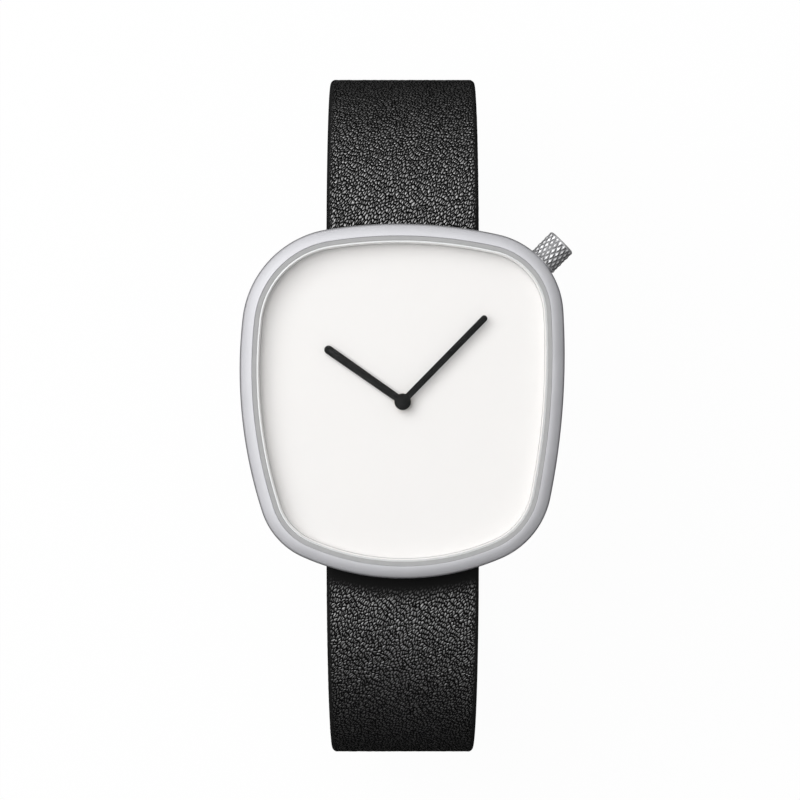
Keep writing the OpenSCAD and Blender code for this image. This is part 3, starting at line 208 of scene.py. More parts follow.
def loft(name, rings, closed=False):
    """Skin over rings of equally many points in mm. Closed joins the last ring to the first."""
    mesh = bpy.data.meshes.new(name)
    count, rows = len(rings[0]), len(rings)
    faces = []
    for i in range(rows if closed else rows - 1):
        a, b = i * count, (i + 1) % rows * count
        faces += [(a + j, a + (j + 1) % count, b + (j + 1) % count, b + j) for j in range(count)]
    if not closed:
        faces += [tuple(range(count))[::-1], tuple(range((rows - 1) * count, rows * count))]
    mesh.from_pydata([Vector(p) * MM for ring in rings for p in ring], [], faces)
    return tidy(link(name, mesh))


def tidy(piece, sharp=35):
    """Points the faces outwards and shades them smooth, with edges sharper than that kept."""
    shape = bmesh.new()
    shape.from_mesh(piece.data)
    bmesh.ops.recalc_face_normals(shape, faces=shape.faces)
    shape.to_mesh(piece.data)
    shape.free()
    piece.data.polygons.foreach_set("use_smooth", [True] * len(piece.data.polygons))
    piece.data.set_sharp_from_angle(angle=math.radians(sharp))
    return piece


def directions(steps):
    """Cosine and sine of equal steps round a circle."""
    return [(math.cos(2 * math.pi * k / steps), math.sin(2 * math.pi * k / steps))
            for k in range(steps)]


# The bowl starts as a flat sheet under the watch. Its edge is highest at the lower right, where it
# glows least.
BOWL = [(1, -41.1), (48, -41), (90, -32), (120, -5), (160, 60), (200, 160)]
BOWL_TURN = math.radians(-58)
BOWL_LIFT = 0.9
BOWL_LIFT_FROM = 10
BOWL_WALL = 1
BOWL_STEPS = 72
CARD_GLOW_LOW = 0.015
CARD_GLOW_HIGH = 0.75
CARD_GLOW_LOSS = 0.45
CARD_GLOW_SIDE = 110
CARD_GLOW_FROM, CARD_GLOW_TO = -43, 80
high_x, high_y = math.cos(BOWL_TURN), math.sin(BOWL_TURN)
bowl_rings = []
for r, z in BOWL + [(r + BOWL_WALL, z - BOWL_WALL) for r, z in reversed(BOWL)]:
    lift = BOWL_LIFT * max(z - FLOOR_Z - BOWL_LIFT_FROM, 0)
    bowl_rings.append([(r * c, r * s, z + lift * (c * high_x + s * high_y))
                       for c, s in directions(BOWL_STEPS)])
bowl = loft("bowl_card", bowl_rings, closed=True)
card_glow, ink = material("card_glow")
place = ink.node("ShaderNodeTexCoord", out="Object")
to_side = ink.node("ShaderNodeVectorMath", {"operation": "DOT_PRODUCT"},
                   {0: place, 1: (high_x, high_y, 0)}, out=1)
height = ink.node("ShaderNodeSeparateXYZ", None, {0: place}, out=2)
loss = CARD_GLOW_LOSS * to_side.step(-CARD_GLOW_SIDE * MM, CARD_GLOW_SIDE * MM)
rising = height.step(CARD_GLOW_FROM * MM, CARD_GLOW_TO * MM)
# The bowl's grey is a glow, fainter low down and at the lower right, that only mirrors and glass
# see
coat(ink, glowing(ink, CARD_GLOW_LOW + rising * (CARD_GLOW_HIGH - loss)))
flag(bowl, card_glow)


# Case middle: one bowl of steel with a pebble outline of four bowed sides and four round corners,
# turned under to a flat back, with a rounded bezel, a pocket for each strap half and a crown flat.
REACH = {3: 18.8, 12: 20.66, 9: 18.92, 6: 20.51}
BOW = {3: 83.8, 12: 53, 9: 53.2, 6: 28.7}
SIDE_AT = {3: (REACH[3] - BOW[3], 5.47), 12: (-0.4, REACH[12] - BOW[12]),
           9: (BOW[9] - REACH[9], 3.67), 6: (0.09, BOW[6] - REACH[6])}
# Corner radius after each side, going counter-clockwise, and the quarter that it lies in
CORNER = {3: 9.64, 12: 11.78, 9: 8.65, 6: 9.73}
QUARTER = {3: (1, 1), 12: (-1, 1), 9: (-1, -1), 6: (1, -1)}
ROUND = [3, 12, 9, 6]
SIDE_STEPS = 26
CORNER_STEPS = 30
WAIST_Z = 4.6
FLAT_Z = 0.3
TUCK = 3
TUCK_POWER = 2.4
BEZEL_W = 1.5
BEZEL_LAND = 0.05
BEZEL_LIP = 0.03
BEZEL_ARC = math.radians(82)
LEDGE_Z = 5.95
SEAL_W = 0.53
LEDGE_W = 0.32
DIAL_SEAT_Z = 4.2
BORE_R = 12.4
COVER_R = 14.1
COVER_T = 0.8
COVER_GAP = 0.05
COVER_SEAL_T = 0.2
SNAP_R = 13.35
SNAP_TOP = 1.9
BAR_Z = 1.9
BAR_IN = 3.4
BAR_Y_12 = REACH[12] - BAR_IN
BAR_Y_6 = BAR_IN - REACH[6]
LUG_W = 18.2
LUG_END = 24
POCKET_OVER = 0.2
POCKET_BACK = 0.15
PIN_HOLE_END = 10.3
ROLL_R = 1.6
STEM_Z = 2.7
CROWN_FLAT = 22.7455
CROWN_R = 1.79
CROWN_ROOM = 0.35
CROWN_END = 27
TUBE_R = 1
TUBE_FROM = 10
TIP_R = 0.4
PIN_GAP = 0.05


def meet(c0, r0, c1, r1, quarter):
    """Where two circles cross, in the quarter given."""
    gap = c1 - c0
    a = (r0 * r0 - r1 * r1 + gap.length_squared) / (2 * gap.length)
    h = math.sqrt(r0 * r0 - a * a)
    along, side = gap.normalized(), Vector((-gap.y, gap.x)).normalized()
    crossings = [c0 + along * a + side * h * way for way in (1, -1)]
    return min(crossings, key=lambda p: (p - Vector(quarter) * 10).length)


side_at = [Vector(SIDE_AT[k]) for k in ROUND]
corner_at = [
    meet(side_at[i], BOW[k] - CORNER[k],
         side_at[(i + 1) % 4], BOW[ROUND[(i + 1) % 4]] - CORNER[k], QUARTER[k])
    for i, k in enumerate(ROUND)
]


def arc(centre, r, start, end, steps):
    """Points on an arc from the direction start round to end, without the last."""
    first = math.atan2(start.y, start.x)
    turn = (math.atan2(end.y, end.x) - first + math.pi) % (2 * math.pi) - math.pi
    angles = [first + turn * k / steps for k in range(steps)]
    return [centre + Vector((math.cos(a), math.sin(a))) * r for a in angles]


def outline(d):
    """The case outline drawn in by d mm, with the same points at every d."""
    points = []
    for i, k in enumerate(ROUND):
        c, after = side_at[i], side_at[(i + 1) % 4]
        before, corner = corner_at[i - 1], corner_at[i]
        points += arc(c, BOW[k] - d, before - c, corner - c, SIDE_STEPS)
        points += arc(corner, CORNER[k] - d, corner - c, corner - after, CORNER_STEPS)
    return points


def level(z, d):
    return [(p.x, p.y, z) for p in outline(d)]


def round_level(z, r):
    """Circle of radius r whose points face those of the outline."""
    return [(*(p.normalized() * r), z) for p in outline(0)]


def bake(piece):
    """Turns a piece with its modifiers into a plain mesh."""
    seen = piece.evaluated_get(bpy.context.evaluated_depsgraph_get())
    mesh = bpy.data.meshes.new_from_object(seen)
    piece.modifiers.clear()
    piece.data = mesh
    return piece


def carve(piece, tools, operation="DIFFERENCE"):
    """Cuts the tools out of a piece, or joins them to it, and removes them."""
    for tool in tools:
        modifier = piece.modifiers.new("carve", "BOOLEAN")
        modifier.operation = operation
        modifier.solver = "EXACT"
        modifier.object = tool
    bake(piece)
    for tool in tools:
        bpy.data.objects.remove(tool)
    return tidy(piece)


AXIS_R = 0.01


def lathe(name, profile, steps=96, matrix=Matrix()):
    """Turned piece: profile is radius and height in mm, from axis to axis, turned by the matrix."""
    rings = [[matrix @ Vector((max(r, AXIS_R) * c, max(r, AXIS_R) * s, z))
              for c, s in directions(steps)] for r, z in profile]
    return loft(name, rings)


def rod(name, r, ends, at, across):
    """Plain rod of radius r between two distances along the direction across, in mm."""
    way = Vector(across).normalized().to_track_quat("Z", "Y").to_matrix().to_4x4()
    profile = [(0, ends[0]), (r, ends[0]), (r, ends[1]), (0, ends[1])]
    return lathe(name, profile, 48, Matrix.Translation(at) @ way)


def block(name, low, high):
    """Plain block between two corners in mm."""
    rings = [[(low[0], low[1], z), (high[0], low[1], z), (high[0], high[1], z),
              (low[0], high[1], z)] for z in (low[2], high[2])]
    return loft(name, rings)


ACROSS = (1, 0, 0)
STEM_WAY = (1, 1, 0)
UNDER_STEPS = 16
BEZEL_STEPS = 22
under_arc = math.asin(((WAIST_Z - FLAT_Z) / WAIST_Z) ** (TUCK_POWER / 2))
rings = []
for k in range(UNDER_STEPS + 1):
    a = under_arc * (1 - k / UNDER_STEPS)
    rings.append(level(WAIST_Z * (1 - math.sin(a) ** (2 / TUCK_POWER)),
                       TUCK * (1 - math.cos(a) ** (2 / TUCK_POWER))))
for k in range(1, BEZEL_STEPS + 1):
    a = BEZEL_ARC * k / BEZEL_STEPS
    rings.append(level(WAIST_Z + (BEZEL_TOP - WAIST_Z) * math.sin(a) / math.sin(BEZEL_ARC),
                       (BEZEL_W - BEZEL_LAND) * (1 - math.cos(a)) / (1 - math.cos(BEZEL_ARC))))
crystal_in = BEZEL_W + SEAL_W
well_in = crystal_in + LEDGE_W
snap_bore, snap_deep = SNAP_R + COVER_GAP, SNAP_TOP + COVER_SEAL_T
cover_bore = COVER_R + COVER_GAP
rings += [level(BEZEL_TOP - BEZEL_LIP, BEZEL_W - 0.02),
          level(BEZEL_TOP - 2 * BEZEL_LIP, BEZEL_W)]
rings += [level(LEDGE_Z, BEZEL_W), level(LEDGE_Z, well_in), level(DIAL_SEAT_Z, well_in)]
rings += [round_level(DIAL_SEAT_Z, BORE_R), round_level(snap_deep, BORE_R),
          round_level(snap_deep, snap_bore), round_level(COVER_T, snap_bore),
          round_level(COVER_T, cover_bore), round_level(FLAT_Z, cover_bore)]
case = loft("case_shell", rings, closed=True)
pocket_top = BAR_Z + ROLL_R + POCKET_OVER
pocket_deep = ROLL_R + POCKET_BACK
carve(case, [
    block("pocket_12", (-LUG_W / 2, BAR_Y_12 - pocket_deep, -1), (LUG_W / 2, LUG_END, pocket_top)),
    block("pocket_6", (-LUG_W / 2, -LUG_END, -1), (LUG_W / 2, BAR_Y_6 + pocket_deep, pocket_top)),
    rod("holes_12", TIP_R + PIN_GAP, (-PIN_HOLE_END, PIN_HOLE_END), (0, BAR_Y_12, BAR_Z), ACROSS),
    rod("holes_6", TIP_R + PIN_GAP, (-PIN_HOLE_END, PIN_HOLE_END), (0, BAR_Y_6, BAR_Z), ACROSS),
    rod("crown_seat", CROWN_R + CROWN_ROOM, (CROWN_FLAT, CROWN_END), (0, 0, STEM_Z), STEM_WAY),
    rod("tube_hole", TUBE_R, (TUBE_FROM, LUG_END), (0, 0, STEM_Z), STEM_WAY),
])


def new_look(name):
    """A new material, a wire of its node tree, and the place of a point on the piece."""
    made, w = material(name)
    return made, w, w.node("ShaderNodeTexCoord", out="Object")


def noise(w, place, scale, detail):
    return w.node("ShaderNodeTexNoise", None, {"Vector": place, "Scale": scale, "Detail": detail})


def blend(w, share, first, second):
    """Colour that goes from the first to the second as share goes from 0 to 1."""
    return w.node("ShaderNodeMix", {"data_type": "RGBA"},
                  {0: share, 6: (*first, 1), 7: (*second, 1)}, out=2)


def relief(w, height, deep):
    """Normal of a bump that is so many mm deep."""
    return w.node("ShaderNodeBump", None, {"Height": height, "Distance": deep * MM})


def surface(w, values):
    coat(w, w.node("ShaderNodeBsdfPrincipled", None, values))


# The bezel is blasted with beads and the flank below it is satin. Blasting scatters light many
# times over, which a part that isn't metallic stands for.
BLAST_AT = (5.3, 6.1)
BLASTED_METALLIC = 0.35
BLASTED_DULLER = 0.22


def steel(name, colour, roughness, grain, deep, blast=None):
    """Steel or brass: grain is the size of its finest marks in mm, deep their depth in mm.

    Between the two heights of blast, in mm, a bead-blasted finish takes over."""
    made, w, place = new_look(name)
    cloud = noise(w, place, 260, 3)
    fine = noise(w, place, 1 / (grain * MM), 2)
    metallic = 1.0
    if blast:
        height = w.node("ShaderNodeSeparateXYZ", None, {0: place}, out=2)
        blasted = height.step(blast[0] * MM, blast[1] * MM)
        metallic = 1 - (1 - BLASTED_METALLIC) * blasted
        roughness = roughness + BLASTED_DULLER * blasted
    surface(w, {
        "Base Color": blend(w, cloud.step(0.3, 0.7), [c * 0.965 for c in colour], colour),
        "Metallic": metallic, "Normal": relief(w, fine, deep),
        "Roughness": roughness - 0.03 + 0.06 * cloud + 0.03 * fine})
    return made


satin_steel = steel("satin_steel", (0.64, 0.64, 0.665), roughness=0.5, grain=0.09, deep=0.004,
                    blast=BLAST_AT)


def lacquer(name, colour, roughness, shine):
    """Sprayed lacquer: a faint orange peel and cloud over a flat colour."""
    made, w, place = new_look(name)
    peel, cloud = noise(w, place, 3200, 1), noise(w, place, 70, 2)
    surface(w, {
        "Base Color": blend(w, cloud, [c * 0.985 for c in colour], colour),
        "Roughness": roughness + 0.08 * peel, "Normal": relief(w, peel, 0.0012),
        "Specular IOR Level": shine})
    return made


def finish(piece, body, slot, *stood_for, look=None):
    """Puts a finished piece on its body, in place of CAD nodes."""
    if look:
        piece.data.materials.clear()
        piece.data.materials.append(look)
    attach(piece, body)
    if stood_for:
        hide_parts(*stood_for)


finish(case, "case", "satin_steel", "case_middle", look=satin_steel)
dial_white = lacquer("dial_white", (0.94, 0.915, 0.905), roughness=0.5, shine=0.3)
well_white = lacquer("well_white", (0.62, 0.62, 0.615), roughness=0.6, shine=0.3)
case.data.materials.append(dial_white)
case.data.materials.append(well_white)
for face in case.data.polygons:
    x, y, z = face.center / MM
    # The ledge under the glass is sprayed like the dial, and the well's wall gets a thinner coat
    if abs(z - LEDGE_Z) < 0.02 and face.normal.z > 0.9:
        face.material_index = 1
    elif DIAL_SEAT_Z < z < LEDGE_Z and face.normal.x * x + face.normal.y * y < 0:
        face.material_index = 2

# Case back: a round steel cover that snaps in, turned on a lathe, with fine rings on its face
# and one notch for the case knife.
SNAP_WALL = 0.6
SNAP_BEAD = 0.1
BEAD_Z = 1.25
BEAD_H = 0.2
RING_R = 9.9
RING_HALF = 0.3
RING_DEEP = 0.03
NOTCH_W = 2.5
NOTCH_H = 0.35
NOTCH_DEEP = 0.4
NOTCH_TURN = math.radians(-135)
notch = block("notch", (COVER_R - NOTCH_DEEP, -NOTCH_W / 2, COVER_T - NOTCH_H),
              (COVER_R + 0.5, NOTCH_W / 2, COVER_T + 0.05))
notch.data.transform(Matrix.Rotation(NOTCH_TURN, 4, "Z"))
bead_r, snap_in = SNAP_R + SNAP_BEAD, SNAP_R - SNAP_WALL
cover = carve(lathe("case_cover", [
    (0, 0), (RING_R - RING_HALF, 0), (RING_R - RING_HALF / 2, RING_DEEP),
    (RING_R + RING_HALF / 2, RING_DEEP), (RING_R + RING_HALF, 0),
    (COVER_R - 0.25, 0), (COVER_R - 0.08, 0.06), (COVER_R, 0.2),
    (COVER_R, COVER_T), (SNAP_R, COVER_T), (SNAP_R, BEAD_Z), (bead_r, BEAD_Z + BEAD_H / 4),
    (bead_r, BEAD_Z + 3 * BEAD_H / 4), (SNAP_R, BEAD_Z + BEAD_H), (SNAP_R, SNAP_TOP),
    (snap_in, SNAP_TOP), (snap_in, COVER_T), (0, COVER_T)], 192), [notch])
turned_steel, w, place = new_look("turned_steel")
flat = w.node("ShaderNodeVectorMath", {"operation": "MULTIPLY"}, {0: place, 1: (1, 1, 0)})
radius = w.node("ShaderNodeVectorMath", {"operation": "LENGTH"}, {0: flat}, out=1)
lines = w.node("ShaderNodeTexNoise", {"noise_dimensions": "1D"},
               {"W": radius, "Scale": 9000, "Detail": 3})
smudge = noise(w, place, 180, 2)
surface(w, {
    "Base Color": (0.66, 0.66, 0.68, 1), "Metallic": 0.6, "Normal": relief(w, lines, 0.004),
    "Roughness": 0.28 + 0.1 * lines + 0.06 * smudge})
finish(cover, "case", "satin_steel", "case_back", look=turned_steel)

# Gasket and crystal: a grey ring of moulded rubber seals a flat mineral glass into the bezel.
# The glass is polished, and its top edge is ground to a narrow chamfer.
CRYSTAL_TOP = 7.15
CHAMFER = 0.2
SEAL_TOP = 6.95
SEAL_SOFT = 0.05
SEAL_FIT = 0.01


def moulded(name, colour, second, scale, roughness, deep, shine=0.5):
    """Plastic, rubber or resin: a fine mould texture between two near colours."""
    made, w, place = new_look(name)
    fine = noise(w, place, scale, 3)
    surface(w, {
        "Base Color": blend(w, fine, colour, second), "Roughness": roughness + 0.1 * fine,
        "Normal": relief(w, fine, deep), "Specular IOR Level": shine})
    return made


grey_seal = moulded("grey_seal", (0.36, 0.36, 0.365), (0.43, 0.43, 0.43), scale=900,
                    roughness=0.62, deep=0.01, shine=0.3)
seal_low, seal_side = LEDGE_Z + SEAL_FIT, SEAL_TOP - SEAL_SOFT
seal = loft("crystal_seal", [
    level(seal_low, crystal_in - SEAL_FIT), level(seal_side, crystal_in - SEAL_FIT),
    level(SEAL_TOP, crystal_in - SEAL_SOFT), level(SEAL_TOP, BEZEL_W + SEAL_SOFT),
    level(seal_side, BEZEL_W + SEAL_FIT), level(seal_low, BEZEL_W + SEAL_FIT)], closed=True)
finish(seal, "case", "grey_seal", "crystal_gasket", look=grey_seal)


def glass_for_lamps(wire, values):
    """Glass, and nothing at all for rays from lamps, which reach what is behind."""
    glassy = wire.node("ShaderNodeBsdfPrincipled", None, values)
    clear = wire.node("ShaderNodeBsdfTransparent")
    coat(wire, wire.node("ShaderNodeMixShader", None,
                         {0: any_ray(wire, "Shadow", "Diffuse"), 1: glassy, 2: clear}))


glass, w = material("crystal_glass")
glass_for_lamps(w, {"Base Color": (0.99, 1, 0.995, 1), "Roughness": 0.02, "IOR": 1.45,
                    "Transmission Weight": 1.0})
ground_edge, w, place = new_look("ground_edge")
frost = noise(w, place, 5000, 2)
glass_for_lamps(w, {"Base Color": (0.9, 0.92, 0.92, 1), "Roughness": 0.25 + 0.1 * frost,
                    "Alpha": 0.8, "Normal": relief(w, frost, 0.004)})
crystal = loft("crystal_pane", [
    level(LEDGE_Z, crystal_in), level(CRYSTAL_TOP - CHAMFER, crystal_in),
    level(CRYSTAL_TOP, crystal_in + CHAMFER)])
crystal.data.materials.append(glass)
crystal.data.materials.append(ground_edge)
for face in crystal.data.polygons:
    # The chamfer alone faces half up and half out
    face.material_index = 1 if 0.3 < face.normal.z < 0.95 else 0
finish(crystal, "case", "crystal_glass", "crystal")

# Dial: a thin brass plate in matt white lacquer, bare of marks, on two feet that stand in the
# movement's plate. It fills the well under the crystal.
DIAL_TOP = 4.6
DIAL_GAP = 0.01
DIAL_EDGE = 0.01
DIAL_HOLE_R = 0.95
DIAL_HOLE_EDGE = 0.03
FOOT_R = 0.35
FOOT_AT = 9.6
FOOT_TURN = math.radians(150)
UP = (0, 0, 1)
dial_in = well_in + DIAL_GAP
dial = loft("dial_plate", [
    level(DIAL_SEAT_Z, dial_in), level(DIAL_TOP - DIAL_EDGE, dial_in),
    level(DIAL_TOP, dial_in + DIAL_EDGE), round_level(DIAL_TOP, DIAL_HOLE_R + DIAL_HOLE_EDGE),
    round_level(DIAL_TOP - DIAL_HOLE_EDGE, DIAL_HOLE_R), round_level(DIAL_SEAT_Z, DIAL_HOLE_R)],
    closed=True)
foot_x, foot_y = FOOT_AT * math.cos(FOOT_TURN), FOOT_AT * math.sin(FOOT_TURN)
carve(dial, [rod("dial_foot", FOOT_R, (DIAL_SEAT_Z - 1.3, DIAL_SEAT_Z + 0.2),
                 (way * foot_x, way * foot_y, 0), UP) for way in (1, -1)], "UNION")
finish(dial, "case", "dial_white", "dial", look=dial_white)

# Hands: two straight bars of thin steel with round ends and a round boss, in satin black. The
# minute hand's boss has a low cap that closes the cannon pinion.
HUB_R = 0.96
HOUR_Z = 5.0
MINUTE_Z = 5.5
HAND_T = 0.2
HAND_EDGE = 0.05
HAND_SOFT = 0.015
HOUR_AT = 305
MINUTE_AT = 44.4
HOUR_HOLE_R = 0.75
CANNON_R = 0.5
CAP_TOP = MINUTE_Z + 0.3


def curve(x, y, r, first, last, steps):
    """Points on an arc round x and y from one angle to another, in degrees, with both ends."""
    turns = [math.radians(first + (last - first) * k / steps) for k in range(steps + 1)]
    return [(x + r * math.cos(a), y + r * math.sin(a)) for a in turns]


def inset(points, d):
    """Closed counter-clockwise line moved in by d at each of its points."""
    moved = []
    for k, p in enumerate(points):
        along = (points[(k + 1) % len(points)] - points[k - 1]).normalized()
        moved.append(p + Vector((-along.y, along.x)) * d)
    return moved


def bar_hand(name, length, root_w, end_w, z, turn):
    """Hand pointing up, with softened edges, turned clockwise by turn degrees."""
    end_r, root = end_w / 2, root_w / 2
    lean = math.degrees(math.asin((root - end_r) / length))
    hub_from = math.degrees(math.atan2(math.sqrt(HUB_R ** 2 - root ** 2), -root))
    around = [Vector(p) for p in curve(0, length, end_r, lean, 180 - lean, 24)
              + curve(0, 0, HUB_R, hub_from, 540 - hub_from, 60)]
    steps = [(HAND_EDGE, 0), (HAND_SOFT, HAND_SOFT), (0, HAND_EDGE)]
    steps += [(d, HAND_T - rise) for d, rise in reversed(steps)]
    made = loft(name, [[(p.x, p.y, z + rise) for p in inset(around, d)] for d, rise in steps])
    made.data.transform(Matrix.Rotation(-math.radians(turn), 4, "Z"))
    return made


hand_black = lacquer("hand_black", (0.005, 0.005, 0.005), roughness=0.5, shine=0.12)
hour_hand = bar_hand("hour_bar", length=10.48, root_w=0.9, end_w=1.0, z=HOUR_Z, turn=HOUR_AT)
carve(hour_hand, [rod("hour_pipe_hole", HOUR_HOLE_R, (HOUR_Z - 0.5, HOUR_Z + 0.4), (0, 0, 0), UP)])
finish(hour_hand, "hour_hand", "hand_black", "hour_hand", look=hand_black)
minute_hand = bar_hand("minute_bar", length=13.47, root_w=0.76, end_w=0.76, z=MINUTE_Z,
                       turn=MINUTE_AT)
cap = lathe("minute_cap", [
    (0, MINUTE_Z + 0.05), (HUB_R - 0.04, MINUTE_Z + 0.05), (HUB_R - 0.005, MINUTE_Z + 0.1),
    (HUB_R, CAP_TOP - 0.08), (HUB_R - 0.02, CAP_TOP - 0.03), (HUB_R - 0.07, CAP_TOP),
    (0, CAP_TOP)], 96)
carve(minute_hand, [cap], "UNION")
carve(minute_hand, [rod("cannon_hole", CANNON_R, (MINUTE_Z - 0.5, MINUTE_Z + HAND_T),
                        (0, 0, 0), UP)])
finish(minute_hand, "minute_hand", "hand_black", "minute_hand", look=hand_black)

# Crown: turned from steel, hollow over the crown tube, bevelled at both ends and knurled between
# in diamonds. It stands out of the case at the corner between 1 and 2.
CROWN_FROM = CROWN_FLAT + 0.1
CROWN_LEN = 3.45
CROWN_BEVEL = 0.22
SHOULDER_IN, SHOULDER_AT = 0.1, 0.08
CROWN_CAP = 0.4
STEM_HOLE_R = 0.45
TUBE_BORE_R = 1.05
TUBE_BORE_END = 2.25
GASKET_R = 1.3
GASKET_AT = (0.65, 1.25)
DISH_R = 1.35
DISH_DEEP = 0.04
DIAMONDS = 18
KNURL_DEPTH = 0.13
KNURL_ROWS = 72
KNURL_RUN_OUT = 0.12
STRETCH = 1.82
TURN_STEPS = 288


def geometry_tree(name, **sizes):
    """Geometry tree with a named input for each size: the tree, its geometry, and the sizes."""
    tree = bpy.data.node_groups.new(name, "GeometryNodeTree")
    tree.interface.new_socket("Geometry", in_out="INPUT", socket_type="NodeSocketGeometry")
    for label, value in sizes.items():
        kind = "NodeSocketInt" if isinstance(value, int) else "NodeSocketFloat"
        tree.interface.new_socket(label, in_out="INPUT", socket_type=kind).default_value = value
    tree.interface.new_socket("Geometry", in_out="OUTPUT", socket_type="NodeSocketGeometry")
    ins = tree.nodes.new("NodeGroupInput")
    wires = {label: Wire(tree, ins.outputs[label]) for label in sizes}
    return Wire(tree, ins.outputs["Geometry"]), wires


def close_tree(shape, look):
    """Ends a geometry tree: its instances are made real and take their material."""
    real = shape.node("GeometryNodeRealizeInstances", None, {0: shape})
    done = shape.node("GeometryNodeSetMaterial", None, {"Geometry": real, "Material": look})
    shape.node("NodeGroupOutput", None, {0: done})
    return shape.tree


def grow(piece, tree, **sizes):
    """Runs a geometry tree on a piece and keeps the plain mesh that it makes."""
    modifier = piece.modifiers.new(tree.name, "NODES")
    modifier.node_group = tree
    for socket in tree.interface.items_tree:
        if socket.in_out == "INPUT" and socket.name in sizes:
            modifier[socket.identifier] = sizes[socket.name]
    return bake(piece)


knurl_from, knurl_to = CROWN_BEVEL, CROWN_LEN - CROWN_BEVEL
bore = [(0, CROWN_LEN - CROWN_CAP), (STEM_HOLE_R, CROWN_LEN - CROWN_CAP),
        (STEM_HOLE_R, TUBE_BORE_END), (TUBE_BORE_R, TUBE_BORE_END), (TUBE_BORE_R, GASKET_AT[1]),
        (GASKET_R, GASKET_AT[1]), (GASKET_R, GASKET_AT[0]), (TUBE_BORE_R, GASKET_AT[0]),
        (TUBE_BORE_R, 0), (CROWN_R - CROWN_BEVEL, 0), (CROWN_R - SHOULDER_IN, SHOULDER_AT)]
outer = [(CROWN_R, knurl_from + (knurl_to - knurl_from) * k / KNURL_ROWS)
         for k in range(KNURL_ROWS + 1)]
crown = lathe("crown_knob", bore + outer + [
    (CROWN_R - SHOULDER_IN, CROWN_LEN - SHOULDER_AT), (CROWN_R - CROWN_BEVEL, CROWN_LEN),
    (DISH_R, CROWN_LEN), (DISH_R - 0.1, CROWN_LEN - DISH_DEEP), (0, CROWN_LEN - DISH_DEEP)],
    TURN_STEPS)

bright_steel = steel("bright_steel", (0.74, 0.74, 0.75), roughness=0.26, grain=0.05, deep=0.0015)

# Painted shade: the knurl's colour darkens from its points into its grooves, which are also rougher
knurled_steel, w, place = new_look("knurled_steel")
groove = w.node("ShaderNodeAttribute", {"attribute_name": "groove"}, out="Fac")
depth = groove * (0.75 + 0.5 * noise(w, place, 4000, 2))
surface(w, {
    "Base Color": blend(w, depth.step(0.1, 0.85), (0.82, 0.82, 0.83), (0.2, 0.2, 0.205)),
    "Metallic": 0.75, "Roughness": 0.38 + 0.12 * depth})
knurl_sizes = {"Diamonds": DIAMONDS, "Depth": KNURL_DEPTH * MM, "Start": knurl_from * MM,
               "End": knurl_to * MM, "Radius": CROWN_R * MM}
shape, size = geometry_tree("diamond_knurl", **knurl_sizes)
place = shape.node("GeometryNodeInputPosition")
split = shape.tree.nodes.new("ShaderNodeSeparateXYZ")
shape.tree.links.new(place.socket, split.inputs[0])
x, y, z = (Wire(shape.tree, s) for s in split.outputs)
turn = shape.math("ARCTAN2", y, x) * (1 / (2 * math.pi)) * size["Diamonds"]
rise = (z - size["Start"]) / (size["Radius"] * (2 * math.pi * STRETCH)) * size["Diamonds"]


def ridge(wire):
    """1 on whole numbers, falling straight to 0 half way between them."""
    return wire.math("ABSOLUTE", wire.math("FRACT", wire + 100.0) - 0.5) * 2


peak = shape.math("MINIMUM", ridge(turn + rise), ridge(turn - rise))
valley = (1 - peak) * size["Depth"]
reach = shape.math("SQRT", x * x + y * y)
# Only the skin between the bevels is knurled
skin = reach.math("GREATER_THAN", reach, size["Radius"] * 0.999)
run_out = KNURL_RUN_OUT * MM
inner = (z - size["Start"]).step(0.0, run_out) * (size["End"] - z).step(0.0, run_out)
shrink = 1 - valley * skin * inner / size["Radius"]
spread = shape.node("ShaderNodeCombineXYZ", None, {0: x * shrink, 1: y * shrink, 2: z})
marked = shape.node("GeometryNodeStoreNamedAttribute", None, {
    "Geometry": shape, "Name": "groove", "Value": (1 - peak) * skin * inner})
knurled = shape.node("GeometryNodeSetPosition", None, {"Geometry": marked, "Position": spread})
grow(crown, close_tree(knurled, knurled_steel), **knurl_sizes)
stem_way = Vector(STEM_WAY).normalized()
crown.data.transform(
    Matrix.Translation((stem_way * CROWN_FROM + Vector((0, 0, STEM_Z))) * MM)
    @ stem_way.to_track_quat("Z", "Y").to_matrix().to_4x4())
tidy(crown, 28)
finish(crown, "crown", "bright_steel", "crown", look=knurled_steel)

# Strap halves: grained black calf leather, turned round a spring bar at the case and at the
# buckle, with rolled edges and a smooth lining. They bend under the wrist and meet at the buckle.
STRAP_W = 17.8
STRAP_END_W = 16
STRAP_T = 2
TAIL_T = 1.8
LINING_T = 0.65
LINING_INSET = 0.1
LINING_EDGE = 0.25
STRAP_EDGE = 0.85
BUCKLE_ROLL_R = 1.45
SHORT_Z = -37.1
SWAY = 1.1
SHORT_RUN = 17.5
TAIL_LEN = 9
BEND_R_12 = 19.5
BEND_R_6 = 20.0
BEND_Y_12 = 18.5
BEND_Y_6 = -21.5
HINGE_Y = BEND_Y_12 - SHORT_RUN
HINGE_Z = SHORT_Z + BUCKLE_ROLL_R - STRAP_T / 2
SWAY_TO = HINGE_Y - 0.7
SWAY_RUN = 7.8
sway_turn = 2 * math.degrees(math.atan(SWAY / SWAY_RUN))
sway_leg = SWAY_RUN / (2 * math.sin(math.radians(sway_turn))) * math.radians(sway_turn)
tail_r = BEND_R_12 + STRAP_T / 2 + 0.2 + TAIL_T / 2
START_12 = (BAR_Y_12, BAR_Z, 0)
LEGS_12 = [(BEND_Y_12 - BAR_Y_12, 0), (math.pi * BEND_R_12, -180), (SHORT_RUN, 0)]
START_6 = (BAR_Y_6, BAR_Z, 180)
